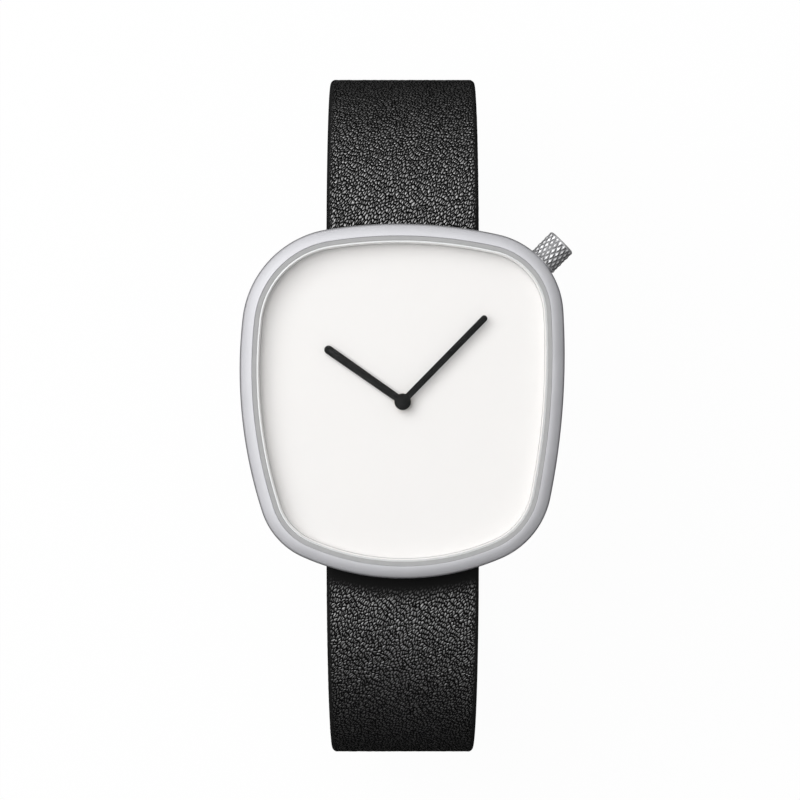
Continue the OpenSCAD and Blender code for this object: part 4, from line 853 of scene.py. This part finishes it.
LEGS_6 = [(BAR_Y_6 - BEND_Y_6, 0), (math.pi * BEND_R_6, 180), (SWAY_TO - SWAY_RUN - BEND_Y_6, 0),
          (sway_leg, -sway_turn), (sway_leg, sway_turn), (BEND_Y_12 - SWAY_TO, 0),
          (TAIL_LEN, math.degrees(TAIL_LEN / tail_r))]
len_12 = sum(run for run, _ in LEGS_12)
len_6 = sum(run for run, _ in LEGS_6)
ROLL_BLEND = 3.2
BUCKLE_BLEND = 2.4
LINING_FROM = 5
LINING_END = 3.5
TAPER_6 = 57
TAPER_POWER = 1.5
TIP_ROUND = 8
TIP_POWER = 2.5
SEAM = 0.15
SMALL = 0.02
tip_end = len_6 - TIP_ROUND * 0.12


def go(at, run, turn):
    """Where a leg of this length and turn leads from at, which is y, z and heading in degrees."""
    y, z, heading = at
    h = math.radians(heading)
    if turn == 0:
        return (y + run * math.cos(h), z + run * math.sin(h), heading)
    r = run / math.radians(turn)
    end = h + math.radians(turn)
    return (y + r * (math.sin(end) - math.sin(h)), z - r * (math.cos(end) - math.cos(h)),
            heading + turn)


def along(legs, start, s):
    """Place and heading at the distance s along a path."""
    for run, turn in legs[:-1]:
        if s <= run:
            return go(start, s, turn * s / run)
        start, s = go(start, run, turn), s - run
    return go(start, s, legs[-1][1] * s / legs[-1][0])


def ease(t):
    t = min(max(t, 0), 1)
    return t * t * (3 - 2 * t)


def mix(a, b, t):
    return a + (b - a) * t


def roll_half(x, r):
    return math.sqrt(max(r * r - x * x, 0))


def taper(s, over):
    """Half width of the strap where it narrows over so many mm."""
    return mix(STRAP_W, STRAP_END_W, min(max(s / over, 0), 1) ** TAPER_POWER) / 2


def half_12(s):
    """Half width, and how far the short half reaches outwards and inwards, at the distance s."""
    w, flat = taper(s, len_12), STRAP_T / 2
    if s < 0:
        return w, roll_half(s, ROLL_R), roll_half(s, ROLL_R)
    if s > len_12:
        rolled = roll_half(s - len_12, BUCKLE_ROLL_R)
        return w, rolled - BUCKLE_ROLL_R + flat, rolled + BUCKLE_ROLL_R - flat
    whole = mix(ROLL_R, flat, ease(s / ROLL_BLEND))
    near = (s - len_12 + BUCKLE_BLEND) / BUCKLE_BLEND
    return w, whole, whole if near < 0 else mix(flat, 2 * BUCKLE_ROLL_R - flat, ease(near))


def half_6(s):
    """The same for the long half, which narrows and ends in a round tip."""
    past = min(max(s - len_6 + TIP_ROUND, 0) / TIP_ROUND, 0.985)
    w = taper(s, TAPER_6) * (1 - past ** TIP_POWER) ** 0.5
    if s < 0:
        return w, roll_half(s, ROLL_R), roll_half(s, ROLL_R)
    near = mix(ROLL_R, STRAP_T / 2, ease(s / ROLL_BLEND))
    t = mix(near, TAIL_T / 2, ease(s / TAPER_6))
    return w, t, t


def section(w, outer, inner, edge, seam, fine):
    """Section of the strap: over its outer side, round its left edge, back under and up."""
    r = min(edge, (outer + inner) * 0.45, w * 0.9)
    q = min(seam, (outer + inner) * 0.45, w * 0.5)
    high, low = outer - r, q - inner
    return ([(mix(w - r, r - w, k / fine), outer) for k in range(fine + 1)]
            + curve(r - w, high, r, 90, 180, 7)[1:] + [(-w, mix(high, low, 0.5))]
            + curve(q - w, low, q, 180, 270, 2)
            + [(mix(q - w, w - q, k / 12), -inner) for k in range(1, 12)]
            + curve(w - q, low, q, 270, 360, 2) + [(w, mix(low, high, 0.5))]
            + curve(w - r, high, r, 0, 90, 7)[:-1])


def run_round(line):
    """Distance round a closed line to each of its points, and back to the first."""
    far = [0]
    for k in range(len(line)):
        far.append(far[-1] + math.dist(line[k], line[(k + 1) % len(line)]))
    return far


def lay_flat(piece, count, spot):
    """UV map skin of a loft: where, in mm, each point lies on the flat hide, by ring and place."""
    chart = piece.data.uv_layers.new(name="skin")
    for face in piece.data.polygons:
        columns = [v % count for v in face.vertices]
        wraps = len(columns) == 4 and max(columns) - min(columns) == count - 1
        for corner, v in zip(face.loop_indices, face.vertices):
            row, column = divmod(v, count)
            at = spot(row, count if wraps and column == 0 else column)
            chart.data[corner].uv = Vector(at) * MM


RIM_W = 0.8
RIM_SOFT = 0.6


def strap_loft(name, legs, start, side, stations, sizes, fine, painted_shadow=lambda s, x, y: 0):
    """Skin of a strap half at its stations, with its hide laid out flat as the UV map skin.

    A place on the flat hide is its distance round from the outer middle, and along it. An
    attribute is 1 where the hide is mat and dark: on its edges, which carry edge paint, and under
    the painted shadow that the last argument lays on it."""
    rings, flat, rim = [], [], []
    top = fine // 2
    run = stations[0]
    for s in stations:
        y, z, heading = along(legs, start, s)
        n = math.radians(heading - 90 * side)
        w = sizes(s)[0]
        line = section(*sizes(s), fine)
        rings.append([(side * p[0], y + p[1] * math.cos(n), z + p[1] * math.sin(n)) for p in line])
        # 1 on the edges, for their edge paint, and 1 under the painted shadow
        rim += [max(ease((abs(p[0]) - w + RIM_W) / RIM_SOFT), painted_shadow(s, *at[:2]))
                for p, at in zip(line, rings[-1])]
        if len(rings) > 1:
            run += math.dist(rings[-1][top], rings[-2][top])
        far = run_round(line)
        flat.append([(across - far[fine] / 2, run) for across in far])
    made = loft(name, rings)
    made.data.attributes.new("rim", "FLOAT", "POINT").data.foreach_set("value", rim)
    lay_flat(made, len(rings[0]), lambda row, column: flat[row][column])
    return made


def spaced(start, end, step):
    """Numbers from start to end, both included, about a step apart."""
    count = max(1, math.ceil((end - start) / step))
    return [start + (end - start) * k / count for k in range(count + 1)]


GRAIN_STEP = 0.21
LINING_STEP = 0.6
rolls = [ROLL_R * math.sin(math.radians(a)) for a in range(-88, 0, 8)]


def upper_12(s):
    w, outer, inner = half_12(s)
    lined = LINING_FROM <= s <= len_12 - LINING_END
    return w, outer, inner - LINING_T * lined, STRAP_EDGE, SEAM


def upper_6(s):
    w, outer, inner = half_6(s)
    return w, outer, inner - LINING_T * (LINING_FROM <= s <= tip_end), STRAP_EDGE, SEAM


def under(halves):
    """Sizes of the lining of a strap half."""
    def sizes(s):
        w, _, inner = halves(s)
        return w - LINING_INSET, LINING_T - inner, inner, SMALL, LINING_EDGE
    return sizes


buckle_rolls = [len_12 + BUCKLE_ROLL_R * math.sin(math.radians(a)) for a in range(8, 89, 8)]
stations_12 = (rolls + spaced(0, LINING_FROM - SMALL, GRAIN_STEP)
               + spaced(LINING_FROM, len_12 - LINING_END, GRAIN_STEP)
               + spaced(len_12 - LINING_END + SMALL, len_12, GRAIN_STEP) + buckle_rolls)
stations_6 = (rolls + spaced(0, LINING_FROM - SMALL, GRAIN_STEP)
              + spaced(LINING_FROM, tip_end, GRAIN_STEP) + [tip_end + SMALL, len_6])
# At 6 a painted shadow of the case's lip lies on the hide: under the lip it is mat and dark, and
# its gloss comes up over the next 3 mm
LIP_SHADOW_RUN = 14
LIP_SHADOW_FULL = 1
LIP_SHADOW_FADE = 2.2


# Painted shadow of the case's lip: 1 under the lip, easing to 0 beyond it
def lip_shadow(s, x, y):
    beyond = (Vector((x, y)) - side_at[ROUND.index(6)]).length - BOW[6]
    return 1 - ease((beyond - LIP_SHADOW_FULL) / LIP_SHADOW_FADE) if s < LIP_SHADOW_RUN else 0


strap_12 = strap_loft("strap_upper_12", LEGS_12, START_12, -1, stations_12, upper_12, 84)
# The long half carries the painted shadow of the case's lip
strap_6 = strap_loft("strap_upper_6", LEGS_6, START_6, 1, stations_6, upper_6, 84, lip_shadow)
lining_12 = strap_loft("strap_under_12", LEGS_12, START_12, -1,
                       spaced(LINING_FROM, len_12 - LINING_END, LINING_STEP), under(half_12), 20)
lining_6 = strap_loft("strap_under_6", LEGS_6, START_6, 1,
                      spaced(LINING_FROM, tip_end, LINING_STEP), under(half_6), 20)
SLEEVE_R = 0.75
TUNNEL_END = 11
TONGUE_W = 1.2
SLOT_GAP = 0.65
SLOT_BACK = 1.8
SLOT_FRONT = 1.6
SLOT_DEEP = 3


def tunnel(name, y, z):
    return rod(name, SLEEVE_R + PIN_GAP, (-TUNNEL_END, TUNNEL_END), (0, y, z), ACROSS)


slot_half = TONGUE_W / 2 + SLOT_GAP
carve(strap_12, [
    tunnel("tunnel_12", BAR_Y_12, BAR_Z), tunnel("tunnel_buckle", HINGE_Y, HINGE_Z),
    block("tongue_slot", (-slot_half, HINGE_Y - SLOT_BACK, HINGE_Z - SLOT_DEEP),
          (slot_half, HINGE_Y + SLOT_FRONT, HINGE_Z + SLOT_DEEP))])
carve(strap_6, [tunnel("tunnel_6", BAR_Y_6, BAR_Z)])


PEBBLE_SCALE = 3400
FOLD_SCALE = 1500
GRAIN_DRIFT = 0.4
GRAIN_LEAN = math.radians(-58)


def pebbles(wire, place, scale):
    """Height of the leather's grain, from 0 in its creases to 1, at a place on the flat hide."""
    near = wire.node("ShaderNodeTexNoise", None, {"Vector": place, "Scale": 900, "Detail": 2},
                     out=1)
    drift = wire.node("ShaderNodeVectorMath", {"operation": "MULTIPLY_ADD"},
                      {0: near, 1: (GRAIN_DRIFT * MM, GRAIN_DRIFT * MM, 0), 2: place})
    lean = wire.node("ShaderNodeVectorRotate", {"rotation_type": "Z_AXIS"},
                     {"Vector": drift, "Angle": GRAIN_LEAN})
    drawn = wire.node("ShaderNodeVectorMath", {"operation": "MULTIPLY"},
                      {0: lean, 1: (0.5, 1.1, 1)})
    cells = {"voronoi_dimensions": "2D", "feature": "DISTANCE_TO_EDGE"}
    edge = wire.node("ShaderNodeTexVoronoi", cells, {"Vector": drawn, "Scale": scale})
    patch = wire.node("ShaderNodeTexNoise", {"noise_dimensions": "2D"},
                      {"Vector": drawn, "Scale": scale * 0.9, "Detail": 1})
    return edge.step(0.0, 0.42) * (0.35 + patch)


EDGE_PAINT = (0.009, 0.009, 0.009)


def leather(name, dark, light, roughness, deep):
    """Finished leather: glossy pebbles, painted shade in its creases, mat edges, and a fine pore.
    """
    made, w = material(name)
    place = w.node("ShaderNodeUVMap", {"uv_map": "skin"})
    height = pebbles(w, place, PEBBLE_SCALE)
    pores, broad = noise(w, place, 9000, 3), noise(w, place, 160, 3)
    rim = w.node("ShaderNodeAttribute", {"attribute_name": "rim"}, out="Fac")
    # Painted shade: the colour darkens from the pebble tops into the creases
    gloss = w.node("ShaderNodeBsdfPrincipled", None, {
        "Base Color": blend(w, height * 0.8 + broad * 0.2, dark, light),
        "Normal": relief(w, height + pores * 0.1, deep), "IOR": 1.9, "Specular IOR Level": 1.0,
        "Roughness": roughness + 0.12 * broad + 0.06 * pores})
    # Mat shade: painted shade in the creases, edge paint on the edges, painted shadow under the
    # case's lip
    mat = w.node("ShaderNodeBsdfPrincipled", None, {
        "Base Color": blend(w, rim, dark, EDGE_PAINT), "Roughness": 0.9,
        "Specular IOR Level": 0.05})
    # Gloss shows on the pebble tops only, and the creases keep the painted shade
    shown = height.step(0.18, 0.6) * (1 - rim)
    coat(w, w.node("ShaderNodeMixShader", None, {0: shown, 1: mat, 2: gloss}))
    return made


black_leather = leather("black_leather", dark=(0.0012, 0.0012, 0.0012),
                        light=(0.04, 0.039, 0.039), roughness=0.26, deep=0.08)

# The relief in the mesh is deepest on the outer side, and gone where the edge turns down
GRAIN_DEEP = 0.03
GRAIN_FULL = 8.6
GRAIN_BARE = 10.2
shape, size = geometry_tree("leather_grain", Depth=GRAIN_DEEP * MM, Full=GRAIN_FULL * MM,
                            Bare=GRAIN_BARE * MM)
place = shape.node("GeometryNodeInputNamedAttribute", {"data_type": "FLOAT_VECTOR"},
                   {"Name": "skin"})
split = shape.node("ShaderNodeSeparateXYZ", None, {0: place})
round_by = split.math("ABSOLUTE", split)
shown = 1 - round_by.step(size["Full"], size["Bare"])
sink = (pebbles(shape, place, FOLD_SCALE) - 1) * shown * size["Depth"]
normal = shape.node("GeometryNodeInputNormal")
push = shape.node("ShaderNodeVectorMath", {"operation": "SCALE"}, {0: normal, "Scale": sink})
grained = shape.node("GeometryNodeSetPosition", None, {"Geometry": shape, "Offset": push})
grain = close_tree(grained, black_leather)

# Adjusting holes: six slots of one size and pitch through the long half's hide and lining. One
# round-ended punch is set at each place along the strap, and the tongue passes where it crosses
# the path, through the fourth.
HOLES = range(-3, 3)
HOLE_PITCH = 6.5
HOLE_LEN = 3.4
HOLE_W = 2
HOLE_DEEP = 6
OVER_Z = -39.2
TONGUE_LEAN = 55
tongue_cross = HINGE_Y - (HINGE_Z - OVER_Z) / math.tan(math.radians(TONGUE_LEAN))
hole_s = sum(run for run, _ in LEGS_6[:5]) + tongue_cross - SWAY_TO
places = bpy.data.meshes.new("hole_places")
spots = [along(LEGS_6, START_6, hole_s + k * HOLE_PITCH) for k in HOLES]
places.from_pydata([(0, y * MM, z * MM) for y, z, _ in spots], [], [])
lean = places.attributes.new("lean", "FLOAT", "POINT")
lean.data.foreach_set("value", [math.radians(h - 180) for _, _, h in spots])
place_marks = link("hole_places", places)

hole_sizes = {"Width": HOLE_W * MM, "Length": HOLE_LEN * MM, "Depth": HOLE_DEEP * MM}
shape, size = geometry_tree("punch", **hole_sizes)
info = shape.node("GeometryNodeObjectInfo", None, {"Object": place_marks}, out="Geometry")
points = shape.node("GeometryNodeMeshToPoints", None, {"Mesh": info})
bar = shape.node("GeometryNodeCurvePrimitiveQuadrilateral", None,
                 {"Width": size["Width"], "Height": size["Length"]})
rounded = shape.node("GeometryNodeFilletCurve", {"mode": "POLY"},
                     {"Curve": bar, "Count": 10, "Radius": size["Width"] * 0.499})
disc = shape.node("GeometryNodeFillCurve", {"mode": "NGONS"}, {"Curve": rounded})
sunk = shape.node("ShaderNodeCombineXYZ", None, {2: size["Depth"] * -0.5})
lowered = shape.node("GeometryNodeTransform", None, {"Geometry": disc, "Translation": sunk})
up = shape.node("ShaderNodeCombineXYZ", None, {2: size["Depth"]})
sides = shape.node("GeometryNodeExtrudeMesh", {"mode": "FACES"},
                   {"Mesh": lowered, "Offset": up, "Offset Scale": 1.0})
shut = shape.node("GeometryNodeFlipFaces", None, {"Mesh": lowered})
joined = shape.tree.nodes.new("GeometryNodeJoinGeometry")
for part in (sides, shut):
    shape.tree.links.new(part.socket, joined.inputs[0])
punch_tool = shape.node("GeometryNodeMergeByDistance", None,
                        {"Geometry": Wire(shape.tree, joined.outputs[0]), "Distance": 1e-6})
tilt = shape.node("ShaderNodeCombineXYZ", None, {
    0: shape.node("GeometryNodeInputNamedAttribute", {"data_type": "FLOAT"}, {"Name": "lean"})})
tools = shape.node("GeometryNodeInstanceOnPoints", None,
                   {"Points": points, "Instance": punch_tool, "Rotation": tilt})
solid = shape.node("GeometryNodeRealizeInstances", None, {0: tools})
holed = shape.node("GeometryNodeMeshBoolean", {"operation": "DIFFERENCE", "solver": "EXACT"},
                   {"Mesh 1": shape, "Mesh 2": solid})
punch = close_tree(holed, black_leather)
for half in (strap_6, lining_6):
    grow(half, punch, **hole_sizes)
bpy.data.objects.remove(place_marks)

for node, half in (("strap_12", strap_12), ("strap_6", strap_6)):
    finish(tidy(grow(half, grain), 60), "case", "black_leather", node, look=black_leather)

lining_leather, w = material("lining_leather")
place = w.node("ShaderNodeUVMap", {"uv_map": "skin"})
nap, stain = noise(w, place, 5200, 4), noise(w, place, 130, 3)
pits = w.node("ShaderNodeTexVoronoi", {"voronoi_dimensions": "2D"},
              {"Vector": place, "Scale": 1500}).step(0.0, 0.16)
surface(w, {
    "Base Color": blend(w, stain, (0.034, 0.028, 0.023), (0.062, 0.051, 0.042)),
    "Normal": relief(w, nap * 0.4 + pits, 0.02), "Roughness": 0.66 + 0.12 * nap})
for node, half in (("strap_12_lining", lining_12), ("strap_6_lining", lining_6)):
    finish(half, "case", "lining_leather", node, look=lining_leather)

# Spring bars: steel tubes with a sprung tip at each end, and a groove by it that a tool catches.
# Two hold the strap in the case and the third is the buckle's hinge.
BAR_LEN = 18
TIP_LEN = 1.1
TIP_SOFT = 0.12
SLEEVE_SOFT = 0.05
GROOVE_R = 0.6
GROOVE_FROM, GROOVE_TO, GROOVE_SLOPE = 0.2, 0.5, 0.04


def lying_across(x, y, z):
    """Puts what is turned about the upright axis across the strap, round a place in mm."""
    return Matrix.Translation((x, y, z)) @ Matrix.Rotation(math.pi / 2, 4, "Y")


def both_ends(half):
    """Profile of a turned piece from the half above its middle."""
    return half + [(r, -h) for r, h in reversed(half)]


def spring_bar(name, y, z, length):
    """Spring bar across the strap: length is that of its sleeve."""
    half = length / 2
    return lathe(name, both_ends([
        (0, half + TIP_LEN), (TIP_R - TIP_SOFT, half + TIP_LEN),
        (TIP_R, half + TIP_LEN - TIP_SOFT), (TIP_R, half), (SLEEVE_R - SLEEVE_SOFT, half),
        (SLEEVE_R, half - SLEEVE_SOFT), (SLEEVE_R, half - GROOVE_FROM),
        (GROOVE_R, half - GROOVE_FROM - GROOVE_SLOPE), (GROOVE_R, half - GROOVE_TO + GROOVE_SLOPE),
        (SLEEVE_R, half - GROOVE_TO)]), 48, lying_across(0, y, z))


ARM_IN = 8.35
for name, y, z, length, body in (
        ("spring_bar_12", BAR_Y_12, BAR_Z, BAR_LEN, "case"),
        ("spring_bar_6", BAR_Y_6, BAR_Z, BAR_LEN, "case"),
        ("buckle_bar", HINGE_Y, HINGE_Z, 2 * ARM_IN - 4 * PIN_GAP, "buckle_frame")):
    finish(spring_bar(name + "_turned", y, z, length), body, "bright_steel", name,
           look=bright_steel)

# Buckle: a pin buckle of bright steel. Two bowed arms with an eye at the hinge end carry a round
# far bar, and the tongue lies in a notch in it.
FRAME_R = 1.1
FRAME_LEN = 10
FRAME_SOFT = 0.35
ARM_W = 1.4
ARM_T = 1.8
ARM_BULGE = 12
TONGUE_T = 0.9
ARM_SOFT = 0.4
EYE_WALL = 0.55
EYE_SOFT = 0.25
EYE_HOLE_END = 9.6
NOTCH_GAP = 0.15
TONGUE_SOFT = 0.25
TONGUE_BEND = 2.2
TONGUE_OVER = 0.7
TONGUE_ROOT = 0.7
TONGUE_EYE = 1.35
TONGUE_EYE_SOFT = 0.2
far_y, far_z = HINGE_Y - FRAME_LEN, FLOOR_Z + FRAME_R
arm_out = ARM_IN + ARM_W


def round_corners(w, h, r, steps):
    """Rounded corners of a box, each a list of points, counter-clockwise from the upper right."""
    return [curve(sx * (w / 2 - r), sy * (h / 2 - r), r, a, a + 90, steps)
            for sx, sy, a in ((1, 1, 0), (-1, 1, 90), (-1, -1, 180), (1, -1, 270))]


def soft_bar(name, legs, start, stations, middle, w, t, r):
    """Flat bar with rounded corners that follows a path in the YZ plane."""
    line = sum(round_corners(w, t, r, 6), [])
    rings = []
    for s in stations:
        y, z, heading = along(legs, start, s)
        n = math.radians(heading + 90)
        rings.append([(middle + px, y + pn * math.cos(n), z + pn * math.sin(n)) for px, pn in line])
    return loft(name, rings)


def turned_across(name, r, soft, middle, w, y, z):
    """Drum across the strap with rounded rims."""
    half = [(0, w / 2)] + curve(r - soft, w / 2 - soft, soft, 90, 0, 6)
    return lathe(name, both_ends(half), 64, lying_across(middle, y, z))


chord = math.hypot(far_y - HINGE_Y, far_z - HINGE_Z)
arm_r = chord / (2 * math.sin(math.radians(ARM_BULGE)))
arm_len = arm_r * math.radians(2 * ARM_BULGE)
arm_start = (HINGE_Y, HINGE_Z,
             math.degrees(math.atan2(far_z - HINGE_Z, far_y - HINGE_Y)) + ARM_BULGE)
frame_piece = turned_across("buckle_hoop", FRAME_R, FRAME_SOFT, 0, 2 * arm_out, far_y, far_z)
parts = []
for way in (-1, 1):
    middle = way * (ARM_IN + ARM_W / 2)
    parts.append(soft_bar("arm", [(arm_len, -2 * ARM_BULGE)], arm_start,
                          spaced(0, arm_len, 0.4), middle, ARM_W, ARM_T, ARM_SOFT))
    parts.append(turned_across("eye", SLEEVE_R + EYE_WALL, EYE_SOFT, middle, ARM_W,
                               HINGE_Y, HINGE_Z))
carve(frame_piece, parts, "UNION")
notch_half = TONGUE_W / 2 + NOTCH_GAP
carve(frame_piece, [
    rod("pin_holes", TIP_R + PIN_GAP, (-EYE_HOLE_END, EYE_HOLE_END), (0, HINGE_Y, HINGE_Z),
        ACROSS),
    block("notch", (-notch_half, far_y - 2, FLOOR_Z - 1),
          (notch_half, far_y + 2, FLOOR_Z + TONGUE_T + PIN_GAP))])
finish(frame_piece, "buckle_frame", "bright_steel", "buckle_frame", look=bright_steel)

tip_z = FLOOR_Z + TONGUE_T / 2
lean = math.radians(TONGUE_LEAN)
lead = (HINGE_Z - tip_z - TONGUE_BEND * (1 - math.cos(lean))) / math.sin(lean)
flat_from = HINGE_Y - lead * math.cos(lean) - TONGUE_BEND * math.sin(lean)
flat = flat_from - far_y + FRAME_R * TONGUE_OVER
bend = TONGUE_BEND * lean
tongue = soft_bar("tongue_bar", [(lead, 0), (bend, -TONGUE_LEAN), (flat, 0)],
                  (HINGE_Y, HINGE_Z, 180 + TONGUE_LEAN),
                  [TONGUE_EYE * TONGUE_ROOT, *spaced(lead, lead + bend, 0.2), lead + bend + flat],
                  0, TONGUE_W, TONGUE_T, TONGUE_SOFT)
carve(tongue, [turned_across("tongue_eye", TONGUE_EYE, TONGUE_EYE_SOFT, 0, TONGUE_W,
                             HINGE_Y, HINGE_Z)], "UNION")
carve(tongue, [rod("tongue_hole", SLEEVE_R + PIN_GAP, (-2, 2), (0, HINGE_Y, HINGE_Z), ACROSS)])
finish(tongue, "buckle_tongue", "bright_steel", "buckle_tongue", look=bright_steel)

# Keepers: two loops of the strap's leather with soft edges. One is fixed near the buckle, the
# other slides along the strap and holds the tail.
KEEPER_LEN = 4
KEEPER_T = 1.1
KEEPER_GAP = 0.15
KEEPER_SEAT = 0.02
KEEPER_R = 1
KEEPER_IN_R = 0.25
KEEPER_SOFT = 0.3
KEEPER_FIXED = 2.6
KEEPER_FREE = 10
KEEPER_TRAVEL = 3
KEEPER_GRAIN = 0.02
SIDE_RUN = 60
keeper_bottom = FLOOR_Z + KEEPER_T
keeper_half = half_12(len_12 - KEEPER_FREE - KEEPER_LEN - KEEPER_TRAVEL)[0] + KEEPER_GAP


def round_box(w, h, r):
    """Line round a box with rounded corners, as many points whatever its size."""
    corners = [[Vector(p) for p in corner] for corner in round_corners(w, h, r, 8)]
    line = []
    for corner, after in zip(corners, corners[1:] + corners[:1]):
        line += corner + [corner[-1].lerp(after[0], k / SIDE_RUN) for k in range(1, SIDE_RUN)]
    return line


def keeper(name, y, room, body, node):
    """Leather loop that starts at y, with room above the short half."""
    top = SHORT_Z + STRAP_T / 2 + room
    h = top - keeper_bottom
    middle = (top + keeper_bottom) / 2
    outer = round_box(2 * (keeper_half + KEEPER_T), h + 2 * KEEPER_T, KEEPER_R)
    inner = round_box(2 * keeper_half, h, KEEPER_IN_R)
    # Each step goes from the inner line, 0, to the outer one, 1, and along the strap in mm
    edge = [(1 - KEEPER_SOFT / KEEPER_T * (1 - math.sin(math.radians(a))),
             KEEPER_SOFT * (1 - math.cos(math.radians(a)))) for a in range(0, 91, 30)]
    steps = [(0, KEEPER_SEAT)] + edge
    steps += [(1, mix(KEEPER_SOFT, KEEPER_LEN - KEEPER_SOFT, k / 16)) for k in range(1, 16)]
    steps += [(e, KEEPER_LEN - v) for e, v in reversed(edge)]
    steps += [(0, KEEPER_LEN - KEEPER_SEAT), (0, KEEPER_LEN / 2)]
    rings = [[(p.x, y + v, middle + p.y) for p in (a.lerp(b, e) for a, b in zip(inner, outer))]
             for e, v in steps]
    made = loft(name, rings, closed=True)
    far = run_round(outer)
    lay_flat(made, len(outer), lambda row, column:
             (far[column], steps[row][1] + 2 * (1 - steps[row][0])))
    tidy(grow(made, grain, Full=1.0, Bare=2.0, Depth=KEEPER_GRAIN * MM), 60)
    finish(made, body, "black_leather", node, look=black_leather)


keeper("keeper_fixed", HINGE_Y + KEEPER_FIXED, KEEPER_SEAT, "case", "fixed_keeper")
keeper("keeper_free", HINGE_Y + KEEPER_FREE, KEEPER_GAP, "free_keeper", "free_keeper")

# Movement and small parts: turned brass wheels and plates, stamped steel, a green board with its
# chip, a coil of lacquered wire, a button cell and moulded or rubber rings. The case hides them.
plain_steel = steel("plain_steel", (0.5, 0.5, 0.52), roughness=0.3, grain=0.12, deep=0.003)
brass = steel("movement_brass", (0.78, 0.62, 0.32), roughness=0.28, grain=0.07, deep=0.002)
cell_steel = steel("cell_steel", (0.75, 0.75, 0.77), roughness=0.2, grain=0.3, deep=0.004)

black_seal = moulded("black_seal", (0.02, 0.02, 0.02), (0.035, 0.035, 0.035), scale=1500,
                     roughness=0.6, deep=0.01)
plastic = moulded("moulded_plastic", (0.78, 0.78, 0.76), (0.82, 0.82, 0.8), scale=2500,
                  roughness=0.45, deep=0.005)
resin = moulded("chip_resin", (0.025, 0.025, 0.025), (0.04, 0.04, 0.04), scale=6000,
                roughness=0.7, deep=0.004)

board_green, w, place = new_look("board_green")
grid = w.node("ShaderNodeTexBrick", {"offset": 0.5}, {
    "Vector": place, "Scale": 700, "Mortar Size": 0.12, "Color1": (0, 0, 0, 1),
    "Color2": (0, 0, 0, 1), "Mortar": (1, 1, 1, 1)})
mask_cloud = noise(w, place, 200, 2)
track = w.node("ShaderNodeRGBToBW", None, {0: grid}) * mask_cloud.step(0.45, 0.5)
surface(w, {
    "Base Color": blend(w, track, (0.02, 0.13, 0.06), (0.08, 0.3, 0.12)),
    "Roughness": 0.35 + 0.1 * mask_cloud, "Normal": relief(w, track, 0.02)})

coil_wire, w, place = new_look("coil_wire")
windings = w.node("ShaderNodeTexWave", {"bands_direction": "X"}, {
    "Vector": place, "Scale": 2600, "Distortion": 0.6, "Detail": 1})
surface(w, {
    "Base Color": blend(w, windings, (0.3, 0.1, 0.03), (0.62, 0.27, 0.1)), "Metallic": 0.6,
    "Roughness": 0.35 + 0.15 * windings, "Normal": relief(w, windings, 0.03)})

LOOKS = {
    "case_back_gasket": black_seal, "crown_gasket": black_seal, "crown_tube": bright_steel,
    "stem": bright_steel, "movement_holder": plastic, "mainplate": brass, "train_bridge": brass,
    "circuit_board": board_green, "driver_chip": resin, "quartz_can": cell_steel,
    "coil": coil_wire, "coil_core": plain_steel, "stator": plain_steel, "battery": cell_steel,
    "battery_clamp": plain_steel, "movement_screws": plain_steel, "cannon_pinion": bright_steel,
    "hour_wheel": brass, "minute_wheel": brass, "setting_wheel": brass, "center_wheel": brass,
    "intermediate_wheel": brass, "rotor": plain_steel, "yoke": plain_steel,
    "sliding_pinion": bright_steel, "setting_lever": plain_steel,
}
for name, look in LOOKS.items():
    for slot in nodes[name].material_slots:
        slot.material = look
